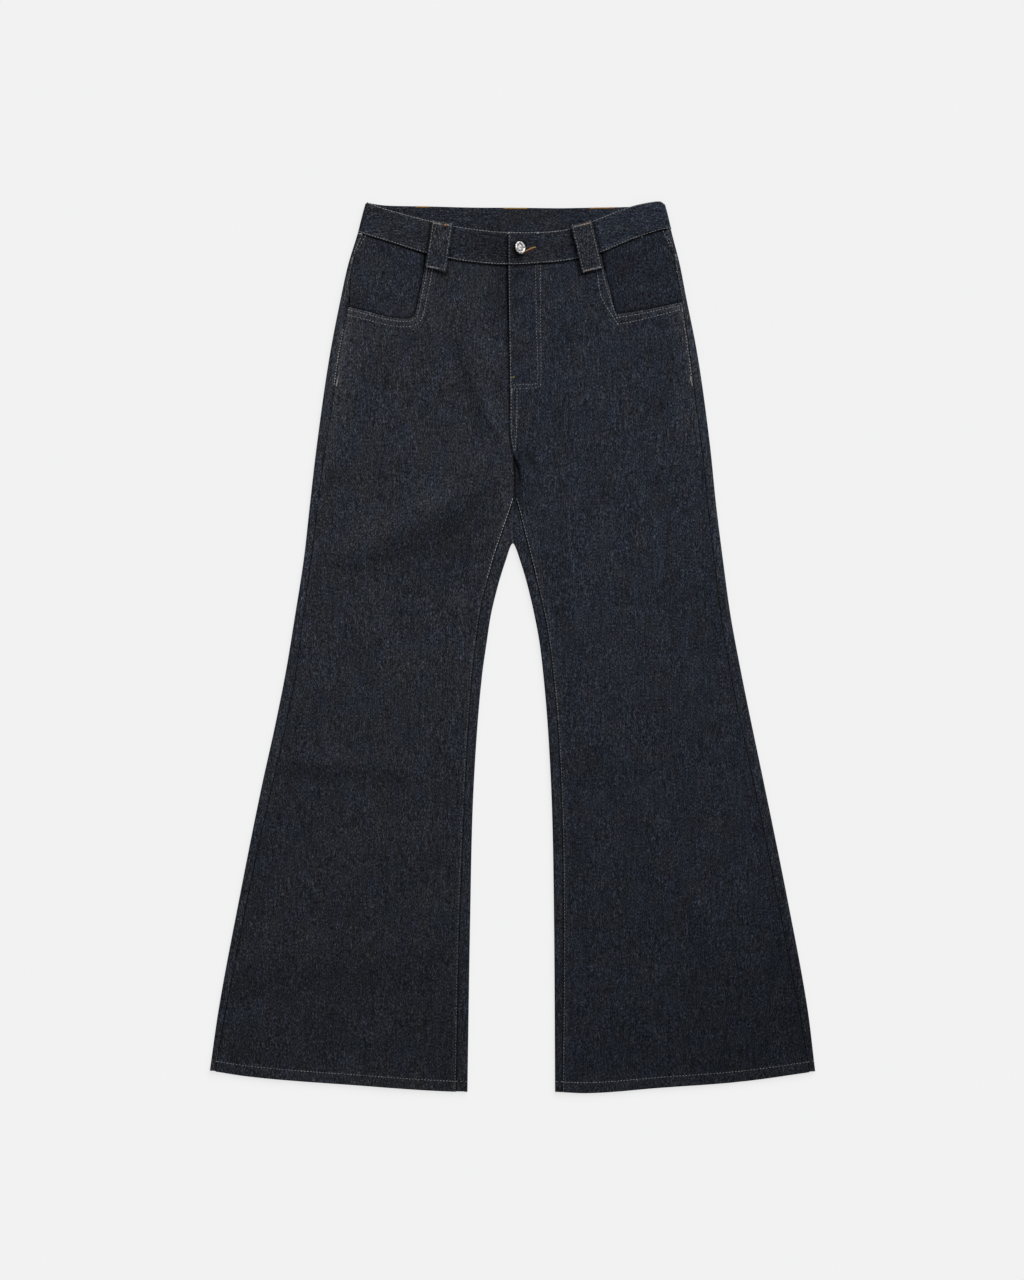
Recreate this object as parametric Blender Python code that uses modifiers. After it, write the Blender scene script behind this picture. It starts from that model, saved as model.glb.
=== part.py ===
"""Flared jeans, fastened at the waist and laid flat on their back.

The waist points to +Y, the hems to -Y and the wearer's right leg is at -X. The jeans rest on
Z = 0. Every size below is in millimetres: "across" runs along +X, "down" runs from the top of
the waistband towards the hems, and "height" is above the surface that the jeans lie on.
Each piece of cloth is drawn as its right side, which looks away from the wearer, and then
given its thickness inwards.
"""

import math
from collections import namedtuple

import bmesh
import bpy
from mathutils import Matrix, Vector

# ---------------------------------------------------------------- driving sizes
MM = 0.001
CLOTH = 1.2                # one layer of denim
HEM_CLOTH = 2.2            # the leg's turned-up edge
BAND_CLOTH = 2.4           # the waistband, denim on both sides
LOOP_CLOTH = 2.2           # a belt loop, folded in three
SEAM_GAP = 0.3             # between two pieces that are sewn together
BAND_GAP = 0.5             # between the waistband and the cloth below it
LAYER_GAP = 0.3            # between a piece and what it lies on
BAND_STEP = 0.6            # the waistband stands this much above the cloth below it
HEM_DEPTH = 13.0           # the turned-up edge, from its fold to its stitches
HEM_STEP = 2.0             # over which the second layer begins

APEX_ACROSS = 1.2          # top of the gap between the legs
APEX_DOWN = 410.4
CENTRE_BACK = 1.2          # the centre-back seam
CROTCH_ACROSS = 3.3        # where the four leg panels meet
CROTCH_DOWN = 354.6

FLY_EDGE = -4.8            # edge of the left front, which laps over the right
UNDERLAP_EDGE = 14.0       # edge of the right front under it
BAND_UNDERLAP_EDGE = 31.0  # end of the waistband under the buttonhole end
FLY_END = 226.0

BUTTON_ACROSS = 9.8
BUTTON_DOWN = 55.0
BUTTON_DIAMETER = 16.2
BUTTON_TILT = math.radians(38.0)
BUTTON_LEAN = math.radians(12.0)
BUTTON_POST = 4.4
BUTTON_POST_SUNK = 1.1     # the post goes this far into the cap
BUTTONHOLE_LENGTH = 19.0
BUTTONHOLE_WIDTH = 2.4
EYELET = 5.4

ZIP_MIDDLE = 19.5          # the zip under the fly
ZIP_WIDTH = 30.0
ZIP_TOP = 90.0
ZIP_END = 214.0
SLIDER_LENGTH = 9.0
PULL_LENGTH = 14.0
SLIDER_HEIGHT = 0.9

RIGHT = "right"
LEFT = "left"
SIGN = {RIGHT: -1.0, LEFT: 1.0}

# ---------------------------------------------------------------- tables
# The folded outer edge of each leg and of the hips.
Side = namedtuple("Side", "down right left")
SIDES = (
    Side(0.0, -175.6, 182.8),
    Side(38.0, -184.8, 191.4),
    Side(76.0, -196.4, 201.2),
    Side(112.0, -204.4, 208.2),
    Side(184.0, -218.4, 222.4),
    Side(292.0, -234.0, 237.4),
    Side(364.0, -242.4, 244.8),
    Side(430.0, -249.8, 253.0),
    Side(497.0, -260.2, 262.2),
    Side(565.0, -271.4, 274.8),
    Side(632.0, -284.8, 288.4),
    Side(699.0, -299.6, 302.4),
    Side(833.0, -326.4, 329.6),
    Side(968.0, -351.6, 354.4),
    Side(1043.0, -362.4, 363.6),
)

# How far the outseam lies inside that edge, on the front.
Outseam = namedtuple("Outseam", "down right left")
OUTSEAMS = (
    Outseam(38.0, 6.0, 6.0),
    Outseam(126.0, 6.6, 7.4),
    Outseam(184.0, 9.4, 9.0),
    Outseam(330.0, 9.8, 10.4),
    Outseam(450.0, 9.0, 11.2),
    Outseam(580.0, 12.6, 13.4),
    Outseam(680.0, 12.8, 12.8),
    Outseam(800.0, 10.2, 12.2),
    Outseam(930.0, 9.6, 12.0),
    Outseam(1043.0, 7.0, 7.6),
)

# The folded inner edges of the legs, from the top of the gap between them.
InnerEdge = namedtuple("InnerEdge", "down right left")
INNER_EDGES = (
    InnerEdge(410.4, 1.2, 1.2),
    InnerEdge(413.0, -1.4, 3.2),
    InnerEdge(418.0, -3.4, 5.4),
    InnerEdge(430.0, -7.2, 9.4),
    InnerEdge(464.0, -17.6, 19.4),
    InnerEdge(497.0, -25.4, 27.0),
    InnerEdge(531.0, -30.6, 33.2),
    InnerEdge(565.0, -35.4, 37.2),
    InnerEdge(632.0, -41.6, 43.0),
    InnerEdge(732.0, -47.2, 48.0),
    InnerEdge(867.0, -50.2, 50.4),
    InnerEdge(1068.0, -53.4, 51.6),
)

# The inseams, where the front meets the back that is folded round.
Inseam = namedtuple("Inseam", "down right left")
INSEAMS = (
    Inseam(354.6, 3.3, 3.3),
    Inseam(369.0, -1.4, 8.2),
    Inseam(394.0, -10.4, 14.8),
    Inseam(423.0, -20.4, 22.8),
    Inseam(450.0, -28.4, 29.6),
    Inseam(482.0, -36.8, 37.4),
    Inseam(521.0, -43.0, 45.2),
    Inseam(565.0, -48.2, 51.0),
    Inseam(632.0, -53.2, 57.0),
    Inseam(732.0, -58.4, 61.8),
    Inseam(867.0, -63.6, 63.6),
    Inseam(1068.0, -67.4, 62.0),
)

# The seam down the middle of the front.
CentreFront = namedtuple("CentreFront", "down across")
CENTRE_FRONTS = (
    CentreFront(60.0, -4.8),
    CentreFront(226.0, -2.4),
    CentreFront(286.0, -1.4),
    CentreFront(310.0, 2.0),
    CentreFront(354.6, 3.3),
)

# The hems, from the wearer's right to left.
Hem = namedtuple("Hem", "across down")
HEMS = (
    Hem(-362.4, 1042.4),
    Hem(-316.8, 1049.4),
    Hem(-181.2, 1060.4),
    Hem(-85.2, 1067.0),
    Hem(-53.4, 1067.8),
    Hem(51.6, 1067.8),
    Hem(88.8, 1069.4),
    Hem(180.0, 1062.8),
    Hem(276.0, 1055.4),
    Hem(363.6, 1043.2),
)

# The waistband's two edges, at the front and at the back.
Band = namedtuple("Band", "place top_across top_down seam_across seam_down")
FRONT_BAND = (
    Band(0.0, -175.8, 1.2, -184.8, 37.8),
    Band(1.0, -141.6, 12.8, -147.6, 48.4),
    Band(2.0, -96.0, 24.6, -101.0, 62.4),
    Band(3.0, -54.0, 32.4, -56.0, 71.4),
    Band(4.0, -4.8, 37.6, -4.8, 75.6),
    Band(5.0, 36.0, 37.4, 37.0, 73.8),
    Band(6.0, 68.4, 33.4, 73.0, 69.4),
    Band(7.0, 96.6, 24.4, 106.0, 61.6),
    Band(8.0, 136.2, 8.8, 143.0, 46.6),
    Band(9.0, 170.4, 1.2, 175.6, 36.0),
    Band(10.0, 183.6, 2.2, 191.0, 34.0),
)
BACK_BAND = (
    Band(0.0, -175.8, 1.2, -184.8, 37.8),
    Band(1.0, -164.0, 3.6, -171.0, 40.6),
    Band(2.0, -148.0, 5.4, -152.0, 43.0),
    Band(4.0, -99.6, 6.6, -102.0, 45.2),
    Band(8.0, 1.2, 8.2, 1.2, 46.6),
    Band(12.0, 100.0, 8.0, 102.0, 45.6),
    Band(14.0, 148.0, 6.6, 153.0, 42.6),
    Band(15.0, 167.0, 4.6, 173.0, 38.8),
    Band(16.0, 183.6, 2.2, 191.0, 34.0),
)

# Where the back yoke meets the back leg, from the side to the centre back.
YOKE_SEAM_SIDE = 84.0
YOKE_SEAM_CENTRE = 118.0

# Sections of a leg, from its upper line to the hem: how far down each one is at the side, at
# the inner edge of the back and at the inner edge of the front.
Section = namedtuple("Section", "side back front")
HIP_SECTIONS = (
    Section(84.0, 118.0, 104.0),
    Section(106.0, 141.0, 126.0),
    Section(129.0, 165.0, 148.0),
    Section(153.0, 190.0, 170.0),
    Section(178.0, 215.0, 192.0),
    Section(204.0, 241.0, 212.0),
    Section(230.0, 267.0, 232.0),
    Section(256.0, 293.0, 252.0),
    Section(282.0, 319.0, 272.0),
    Section(308.0, 344.0, 292.0),
    Section(334.0, 368.0, 312.0),
    Section(358.0, 390.0, 332.0),
)
LEG_SECTIONS = (
    Section(382.0, 410.4, 354.6),
    Section(398.0, 413.0, 362.0),
    Section(414.0, 418.0, 373.0),
    Section(430.0, 428.0, 392.0),
    Section(447.0, 443.0, 420.0),
    Section(467.0, 464.0, 450.0),
    Section(491.0, 490.0, 482.0),
    Section(520.0, 520.0, 517.0),
    Section(552.0, 552.0, 551.0),
    Section(586.0, 586.0, 586.0),
    Section(622.0, 622.0, 622.0),
    Section(660.0, 660.0, 660.0),
    Section(700.0, 702.0, 702.0),
    Section(742.0, 746.0, 746.0),
    Section(785.0, 791.0, 791.0),
    Section(829.0, 837.0, 837.0),
    Section(873.0, 884.0, 884.0),
    Section(917.0, 931.0, 931.0),
    Section(960.0, 978.0, 978.0),
    Section(1000.0, 1020.0, 1020.0),
)

# The roll of a folded edge: its radius, how far it dies away inwards, and how far apart the
# two layers lie in the middle.
Roll = namedtuple("Roll", "down radius reach apart")
ROLLS = (
    Roll(0.0, 3.8, 112.0, 1.3),
    Roll(50.0, 3.8, 108.0, 1.3),
    Roll(84.0, 3.6, 98.0, 1.2),
    Roll(130.0, 3.4, 78.0, 1.0),
    Roll(250.0, 3.0, 52.0, 0.8),
    Roll(500.0, 2.7, 42.0, 0.6),
    Roll(1070.0, 2.8, 36.0, 0.5),
)

# What lies under a layer and lifts it: the box it covers, how fast the lift dies away.
Lift = namedtuple("Lift", "left_edge right_edge upper lower ramp height")
BACK_POCKET_LIFT = CLOTH + LAYER_GAP
BACK_LOOP_LIFT = LOOP_CLOTH + LAYER_GAP
BACK_LOOPS = {"right": -107.0, "centre": 4.0, "left": 108.0}
BACK_LOOP_TOP = 8.6
BACK_LOOP_END = 62.0
LOOP_WIDTH = 24.6
POCKET_INNER = 40.0
POCKET_OUTER = 180.0
POCKET_TOP = 132.0
POCKET_END = 284.0
POCKET_TAPER = 8.0
POCKET_POINT = 16.0


def lifts_under_back():
    """The lifts of the back layer, over its patch pockets and belt loops."""
    pockets = [
        Lift(min(sign * POCKET_INNER, sign * POCKET_OUTER) - 6.0,
             max(sign * POCKET_INNER, sign * POCKET_OUTER) + 6.0,
             POCKET_TOP - 6.0, POCKET_END + 6.0, 28.0, BACK_POCKET_LIFT)
        for sign in SIGN.values()
    ]
    loops = [
        Lift(middle - 0.5 * LOOP_WIDTH - 12.0, middle + 0.5 * LOOP_WIDTH + 12.0,
             BACK_LOOP_TOP - 30.0, BACK_LOOP_END + 8.0, 18.0, BACK_LOOP_LIFT)
        for middle in BACK_LOOPS.values()
    ]
    return pockets + loops


# The pocket scoops, along the edge of the opening from the waistband to the outseam, and the
# depth that the facing goes on under the front.
Scoop = namedtuple("Scoop", "across down")
SCOOPS = {
    RIGHT: (
        Scoop(-101.0, 50.0), Scoop(-105.0, 79.8), Scoop(-108.4, 99.0), Scoop(-113.0, 120.6),
        Scoop(-116.4, 134.0), Scoop(-119.6, 139.4), Scoop(-126.0, 141.4), Scoop(-134.0, 141.0),
        Scoop(-154.8, 136.8), Scoop(-174.0, 130.8), Scoop(-215.0, 120.0),
    ),
    LEFT: (
        Scoop(104.0, 50.0), Scoop(110.0, 79.8), Scoop(113.8, 94.2), Scoop(119.2, 115.8),
        Scoop(123.4, 134.0), Scoop(125.4, 136.6), Scoop(129.0, 136.8), Scoop(160.0, 130.6),
        Scoop(202.8, 121.8), Scoop(220.0, 118.0),
    ),
}
FACING_MARGIN = 16.0
FACING_LIFT = CLOTH + LAYER_GAP
ZIP_TAPE = 0.9
ZIP_LIFT = ZIP_TAPE + LAYER_GAP
OVERLAP_LIFT = CLOTH + LAYER_GAP
FACING_LIFTS = (
    Lift(-260.0, -74.0, 40.0, 170.0, 26.0, FACING_LIFT),
    Lift(82.0, 260.0, 40.0, 168.0, 26.0, FACING_LIFT),
)
RIGHT_FRONT_LIFTS = (Lift(-2.0, 40.0, 86.0, FLY_END + 8.0, 24.0, ZIP_LIFT),)
LEFT_FRONT_LIFTS = (Lift(-20.0, 34.0, 40.0, FLY_END + 8.0, 24.0, ZIP_LIFT + OVERLAP_LIFT),)
BAND_LIFTS = (
    Lift(-104.0, -84.0, 0.0, 90.0, 34.0, 0.6 * FACING_LIFT),
    Lift(90.0, 108.0, 0.0, 90.0, 34.0, 0.6 * FACING_LIFT),
)
BACK_BAND_LIFT = Lift(-400.0, 400.0, -20.0, 48.0, 16.0, BAND_CLOTH - CLOTH + 0.2)
BAND_OVERLAP_LIFT = Lift(-20.0, 44.0, 0.0, 90.0, 22.0, BAND_CLOTH + 2.0 * LAYER_GAP)

# The largest soft folds of the front: middle, direction, half length, half width, height.
Fold = namedtuple("Fold", "across down turn length width height")
FOLDS = (
    Fold(20.0, 330.0, 78.0, 34.0, 13.0, 2.2),
    Fold(-16.0, 322.0, 100.0, 38.0, 15.0, 1.2),
    Fold(-44.0, 268.0, 142.0, 60.0, 17.0, 1.3),
    Fold(52.0, 286.0, 36.0, 64.0, 18.0, 1.2),
    Fold(-96.0, 352.0, 158.0, 70.0, 20.0, 0.9),
    Fold(112.0, 372.0, 20.0, 76.0, 22.0, 1.0),
    Fold(-176.0, 676.0, 4.0, 96.0, 22.0, 1.1),
    Fold(168.0, 640.0, 172.0, 88.0, 24.0, 0.9),
    Fold(-150.0, 905.0, 84.0, 110.0, 26.0, 1.2),
    Fold(-262.0, 960.0, 74.0, 90.0, 22.0, 1.0),
    Fold(142.0, 930.0, 96.0, 120.0, 26.0, 1.1),
    Fold(254.0, 880.0, 104.0, 100.0, 24.0, 1.2),
)

# Loop ends on the front: the middle of the upper end, then of the lower end.
LoopEnds = namedtuple("LoopEnds", "top_across top_down end_across end_down")
FRONT_LOOPS = {
    RIGHT: LoopEnds(-83.0, 26.6, -91.0, 81.8),
    LEFT: LoopEnds(82.8, 27.4, 95.4, 82.2),
}
LOOP_END_CLOTH = 3.2       # where a loop's end is folded under
LOOP_ARCH = 0.6
LOOP_GAP = 0.4
LOOP_REACH = 0.08          # of its length, over which a loop bridges what it lies on
LOOP_TURN = 0.15           # of its length, that is doubled at each end


# ---------------------------------------------------------------- shape functions
def between(start, end, part):
    """The value a given part of the way from start to end."""
    return start + (end - start) * part


def smooth(part):
    """A soft step from 0 to 1."""
    part = min(max(part, 0.0), 1.0)
    return part * part * (3.0 - 2.0 * part)


class Curve:
    """A smooth line through one column of a table, read against another."""

    def __init__(self, table, along, value, warp=lambda place: place):
        self.warp = warp
        self.places = [warp(getattr(row, along)) for row in table]
        self.values = [getattr(row, value) for row in table]
        steps = [
            (self.values[i + 1] - self.values[i]) / (self.places[i + 1] - self.places[i])
            for i in range(len(table) - 1)
        ]
        inner = [0.5 * (steps[i] + steps[i + 1]) for i in range(len(steps) - 1)]
        self.slopes = [steps[0]] + inner + [steps[-1]]

    def __call__(self, place):
        place = min(max(self.warp(place), self.places[0]), self.places[-1])
        i = 0
        while i < len(self.places) - 2 and place > self.places[i + 1]:
            i += 1
        span = self.places[i + 1] - self.places[i]
        t = (place - self.places[i]) / span
        return (
            self.values[i] * (1.0 + 2.0 * t) * (1.0 - t) ** 2
            + self.slopes[i] * span * t * (1.0 - t) ** 2
            + self.values[i + 1] * t * t * (3.0 - 2.0 * t)
            + self.slopes[i + 1] * span * t * t * (t - 1.0)
        )


def from_apex(down):
    """Distance below the top of the gap between the legs, drawn out so that it is round."""
    return math.sqrt(max(down - APEX_DOWN, 0.0))


side_edge = {side: Curve(SIDES, "down", side) for side in SIGN}
outseam_inset = {side: Curve(OUTSEAMS, "down", side) for side in SIGN}
inner_edge = {side: Curve(INNER_EDGES, "down", side, from_apex) for side in SIGN}
inseam = {side: Curve(INSEAMS, "down", side) for side in SIGN}
centre_front = Curve(CENTRE_FRONTS, "down", "across")
hem = Curve(HEMS, "across", "down")
roll_radius = Curve(ROLLS, "down", "radius")
roll_reach = Curve(ROLLS, "down", "reach")
layers_apart = Curve(ROLLS, "down", "apart")
front_band_seam = Curve(FRONT_BAND, "seam_across", "seam_down")
back_band_seam = Curve(BACK_BAND, "seam_across", "seam_down")
INNER_EDGE_POINTS = [
    (inner_edge[side](APEX_DOWN + step * step * 0.25), APEX_DOWN + step * step * 0.25)
    for side in SIGN
    for step in range(52)
]


def outseam(side, down):
    """The outseam's place across, on the front."""
    return side_edge[side](down) - SIGN[side] * outseam_inset[side](down)


def front_inner(side, down):
    """The inner edge of a front: the centre front, then the inseam."""
    if down < CROTCH_DOWN:
        return centre_front(down)
    return inseam[side](down)


def yoke_seam(across):
    """The seam under the back yoke, a shallow V."""
    reach = abs(across - CENTRE_BACK) / 196.0
    return between(YOKE_SEAM_CENTRE, YOKE_SEAM_SIDE, min(reach, 1.0))


def plateau(value, low, high, ramp):
    """1 between low and high, dying away to 0 over a ramp on both sides."""
    return smooth((value - low + ramp) / ramp) * smooth((high + ramp - value) / ramp)


def lift(across, down, rows):
    """The greatest of some lifts at a place."""
    return max(
        row.height
        * plateau(across, row.left_edge, row.right_edge, row.ramp)
        * plateau(down, row.upper, row.lower, row.ramp)
        for row in rows
    )


LIFTS_UNDER_BACK = lifts_under_back()


def under(across, down):
    """Height of the underside of the back layer."""
    return lift(across, down, LIFTS_UNDER_BACK)


def inside_edge(across, down):
    """Distance from the nearest folded edge."""
    nearest = min(
        abs(across - side_edge[RIGHT](down)), abs(across - side_edge[LEFT](down))
    )
    if down > APEX_DOWN - 60.0 and abs(across) < 130.0:
        nearest = min(
            [nearest]
            + [math.hypot(across - x, down - d) for x, d in INNER_EDGE_POINTS if abs(d - down) < 80.0]
        )
    return nearest


def is_hem(across, down):
    """1 in the turned-up edge of a leg, 0 above it."""
    return 1.0 if down > hem(across) - HEM_DEPTH - 0.5 * HEM_STEP else 0.0


def cloth_at(across, down):
    """Thickness of a leg panel."""
    return between(CLOTH, HEM_CLOTH, is_hem(across, down))


def folds(across, down):
    """Height of the soft folds of the front."""
    total = 0.0
    for fold in FOLDS:
        turn = math.radians(fold.turn)
        dx = across - fold.across
        dd = fold.down - down
        along = dx * math.cos(turn) + dd * math.sin(turn)
        aside = dd * math.cos(turn) - dx * math.sin(turn)
        total += fold.height * math.exp(-((along / fold.length) ** 2) - (aside / fold.width) ** 2)
    return total


def gap_between_layers(across, down):
    """How far the front lies above the back: most at a folded edge."""
    radius = roll_radius(down)
    apart = layers_apart(down)
    at_edge = 2.0 * (radius - cloth_at(across, down))
    die = smooth((inside_edge(across, down) - radius) / roll_reach(down))
    return max(between(at_edge, apart, die), 0.4)


def front_height(across, down):
    """Height of the right side of the front layer, before the lifts of single pieces."""
    inward = smooth((inside_edge(across, down) - roll_radius(down)) / 30.0)
    return (
        under(across, down)
        + 2.0 * cloth_at(across, down)
        + gap_between_layers(across, down)
        + folds(across, down) * inward
        + lift(across, down, (BACK_BAND_LIFT,)) * inward
    )


def front_panel_height(side, across, down):
    """Height of a front: over its pocket facing, the zip and the other front."""
    fly_lifts = RIGHT_FRONT_LIFTS if side == RIGHT else LEFT_FRONT_LIFTS
    return (
        front_height(across, down)
        + lift(across, down, FACING_LIFTS)
        + lift(across, down, fly_lifts)
    )


def band_height(across, down, overlap):
    """Height of the waistband's right side at the front."""
    raised = lift(across, down, BAND_LIFTS)
    if overlap:
        raised += lift(across, down, (BAND_OVERLAP_LIFT,))
    return front_height(across, down) + BAND_STEP + raised


# ---------------------------------------------------------------- making objects
MIDDLE_ACROSS = 0.5 * (SIDES[-1].right + SIDES[-1].left)
MIDDLE_DOWN = 0.5 * (FRONT_BAND[0].top_down + max(row.down for row in HEMS))


def place(across, down, height):
    """A point of the jeans in metres, about the middle of the surface that they cover."""
    return Vector((
        (across - MIDDLE_ACROSS) * MM,
        (MIDDLE_DOWN - down) * MM,
        height * MM,
    ))


def clear_scene():
    """Removes what the scene holds, so that the jeans are alone in it."""
    for obj in list(bpy.data.objects):
        bpy.data.objects.remove(obj, do_unlink=True)


def new_collection(name):
    """A collection of the scene."""
    collection = bpy.data.collections.new(name)
    bpy.context.scene.collection.children.link(collection)
    return collection


def finish_material(name, colour, roughness, metallic):
    """A Principled material."""
    material = bpy.data.materials.new(name)
    material.use_nodes = True
    shader = material.node_tree.nodes["Principled BSDF"]
    shader.inputs["Base Color"].default_value = (*colour, 1.0)
    shader.inputs["Roughness"].default_value = roughness
    shader.inputs["Metallic"].default_value = metallic
    return material


class Cloth:
    """The right side of one piece of cloth, which is then given its thickness."""

    def __init__(self):
        self.mesh = bmesh.new()
        self.weights = self.mesh.verts.layers.deform.verify()

    def point(self, across, down, height, thick=0.0):
        """Adds a point; thick is 1 where the cloth has its greater thickness."""
        vert = self.mesh.verts.new(place(across, down, height))
        vert[self.weights][0] = thick
        return vert

    def loft(self, rows, flip):
        """Joins rows of points with faces."""
        for upper, lower in zip(rows, rows[1:]):
            for i in range(len(upper) - 1):
                ring = [upper[i], upper[i + 1], lower[i + 1], lower[i]]
                self.mesh.faces.new(reversed(ring) if flip else ring)

    def make(self, name, material, collection, thickness, thin=None):
        """The finished object; thin is its thickness where the points have no weight."""
        data = bpy.data.meshes.new(name)
        self.mesh.to_mesh(data)
        self.mesh.free()
        data.materials.append(material)
        data.shade_smooth()
        obj = bpy.data.objects.new(name, data)
        collection.objects.link(obj)
        wall = obj.modifiers.new("cloth", "SOLIDIFY")
        wall.thickness = thickness * MM
        wall.offset = -1.0
        wall.use_even_offset = True
        if thin is not None:
            obj.vertex_groups.new(name="doubled")
            wall.vertex_group = "doubled"
            wall.thickness_vertex_group = thin / thickness
        return obj


# ---------------------------------------------------------------- the leg panels
class Panel:
    """A region between an outer and an inner edge, from an upper to a lower line."""

    def __init__(self, outer, inner, upper, lower):
        self.outer = outer
        self.inner = inner
        self.upper = upper
        self.lower = lower
        self.outer_top = self.corner(outer, upper)
        self.outer_end = self.corner(outer, lower)
        self.inner_top = self.corner(inner, upper)
        self.inner_end = self.corner(inner, lower)

    @staticmethod
    def corner(edge, line):
        """Where an edge meets a line."""
        across = edge(line(0.0))
        for _ in range(12):
            across = edge(line(across))
        return across, line(across)

    def bow(self, start, end, line, part):
        """How far a line stands below the straight way between its two corners."""
        across = between(start[0], end[0], part)
        return line(across) - between(start[1], end[1], part)

    def point(self, outer_down, inner_down, part):
        """The point a given part of the way along a section, from the outer edge."""
        whole = between(outer_down, inner_down, part)
        top = between(self.outer_top[1], self.inner_top[1], part)
        end = between(self.outer_end[1], self.inner_end[1], part)
        w = (whole - top) / (end - top)
        down = (
            whole
            + self.bow(self.outer_top, self.inner_top, self.upper, part) * (1.0 - w) ** 6
            + self.bow(self.outer_end, self.inner_end, self.lower, part) * max(w, 0.0) ** 6
        )
        return between(self.outer(outer_down), self.inner(inner_down), part), down


FRONT_COLUMNS = 11
BACK_COLUMNS = 9
YOKE_COLUMNS = 12
ARC_STEPS = 4


def hem_sections(side_down, back_down, front_down):
    """The last sections of a leg: above the second layer, at its start, and the hem itself."""
    return [
        Section(side_down - lift_off, back_down - lift_off, front_down - lift_off)
        for lift_off in (HEM_DEPTH + HEM_STEP, HEM_DEPTH, 0.0)
    ]


def make_front(side, material, collection, cutters):
    """A front leg, cut away at its pocket scoop."""
    sign = SIGN[side]
    if side == RIGHT:
        def inner(down):
            if down < FLY_END:
                return between(UNDERLAP_EDGE, centre_front(down),
                               smooth((down - FLY_END + 18.0) / 18.0)) - 0.5 * SEAM_GAP
            return front_inner(side, down) - 0.5 * SEAM_GAP
    else:
        def inner(down):
            return front_inner(side, down) + 0.5 * SEAM_GAP

    panel = Panel(
        outer=lambda down: outseam(side, down) - sign * 0.5 * SEAM_GAP,
        inner=inner,
        upper=lambda across: front_band_seam(across) + BAND_GAP,
        lower=hem,
    )
    first = HIP_SECTIONS[0]
    sections = [
        Section(between(panel.outer_top[1], first.side, part), 0.0,
                between(panel.inner_top[1], first.front, part))
        for part in (0.0, 0.5)
    ]
    sections += HIP_SECTIONS + LEG_SECTIONS
    sections += hem_sections(panel.outer_end[1], 0.0, panel.inner_end[1])
    cloth = Cloth()
    rows = []
    for section in sections:
        row = []
        for i in range(FRONT_COLUMNS + 1):
            across, down = panel.point(section.side, section.front, i / FRONT_COLUMNS)
            height = front_panel_height(side, across, down)
            row.append(cloth.point(across, down, height, is_hem(across, down)))
        rows.append(row)
    cloth.loft(rows, flip=side == RIGHT)
    front = cloth.make(f"front_{side}", material, collection, HEM_CLOTH, CLOTH)
    scoop = make_scoop(side, cutters)
    cut = front.modifiers.new("pocket scoop", "BOOLEAN")
    cut.operation = "DIFFERENCE"
    cut.object = scoop
    return front


def make_scoop(side, cutters):
    """The prism that cuts a pocket scoop out of a front."""
    sign = SIGN[side]
    edge = [(row.across, row.down) for row in SCOOPS[side]]
    outline = edge + [(sign * 260.0, edge[-1][1]), (sign * 260.0, 0.0), (edge[0][0], 0.0)]
    prism = bmesh.new()
    bottom = [prism.verts.new(place(across, down, -2.0)) for across, down in outline]
    face = prism.faces.new(bottom)
    raised = bmesh.ops.extrude_face_region(prism, geom=[face])
    tops = [item for item in raised["geom"] if isinstance(item, bmesh.types.BMVert)]
    bmesh.ops.translate(prism, verts=tops, vec=(0.0, 0.0, 40.0 * MM))
    bmesh.ops.recalc_face_normals(prism, faces=prism.faces)
    data = bpy.data.meshes.new(f"pocket_scoop_{side}")
    prism.to_mesh(data)
    prism.free()
    return add_cutter(data, cutters)


def add_cutter(data, cutters):
    """An object that only cuts others."""
    cutter = bpy.data.objects.new(data.name, data)
    cutter.hide_render = True
    cutter.display_type = "WIRE"
    cutters.objects.link(cutter)
    return cutter


def fold_arc(radius):
    """Steps round a folded edge, from the underside: how far inside it and how high."""
    steps = []
    for i in range(1, ARC_STEPS):
        angle = math.pi * i / ARC_STEPS
        steps.append((radius * (1.0 - math.sin(angle)), radius * (1.0 - math.cos(angle))))
    return steps


def side_columns(cloth, side, down, thick, front_down=None):
    """One section's points from the outseam, on the front, round the side to the underside.

    Where the section lies elsewhere on the front, front_down gives its place there.
    """
    sign = SIGN[side]
    edge = side_edge[side](down)
    radius = roll_radius(down)
    inset = outseam_inset[side](down) - 0.5 * SEAM_GAP
    points = []
    for part in (0.0, 0.5, 1.0):
        across = edge - sign * between(inset, radius, part)
        ahead = front_down(across) if front_down else down
        height = front_height(across, ahead) if part < 1.0 else 2.0 * radius
        points.append(cloth.point(across, ahead, height, thick))
    for offset, height in reversed(fold_arc(radius)):
        across = edge - sign * offset
        ahead = front_down(across) if front_down else down
        turned = between(down, ahead, height / (2.0 * radius))
        points.append(cloth.point(across, turned, height, thick))
    return points


def inner_fold(side, down):
    """The inner edge at a place, and the direction from it into the leg."""
    step = 0.01
    across = inner_edge[side](down)
    if down <= APEX_DOWN:
        return APEX_ACROSS, APEX_DOWN, 0.0, -1.0
    slope = (inner_edge[side](down + step) - inner_edge[side](down)) / step
    length = math.hypot(slope, 1.0)
    sign = SIGN[side]
    return across, down, sign / length, -sign * slope / length


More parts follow.
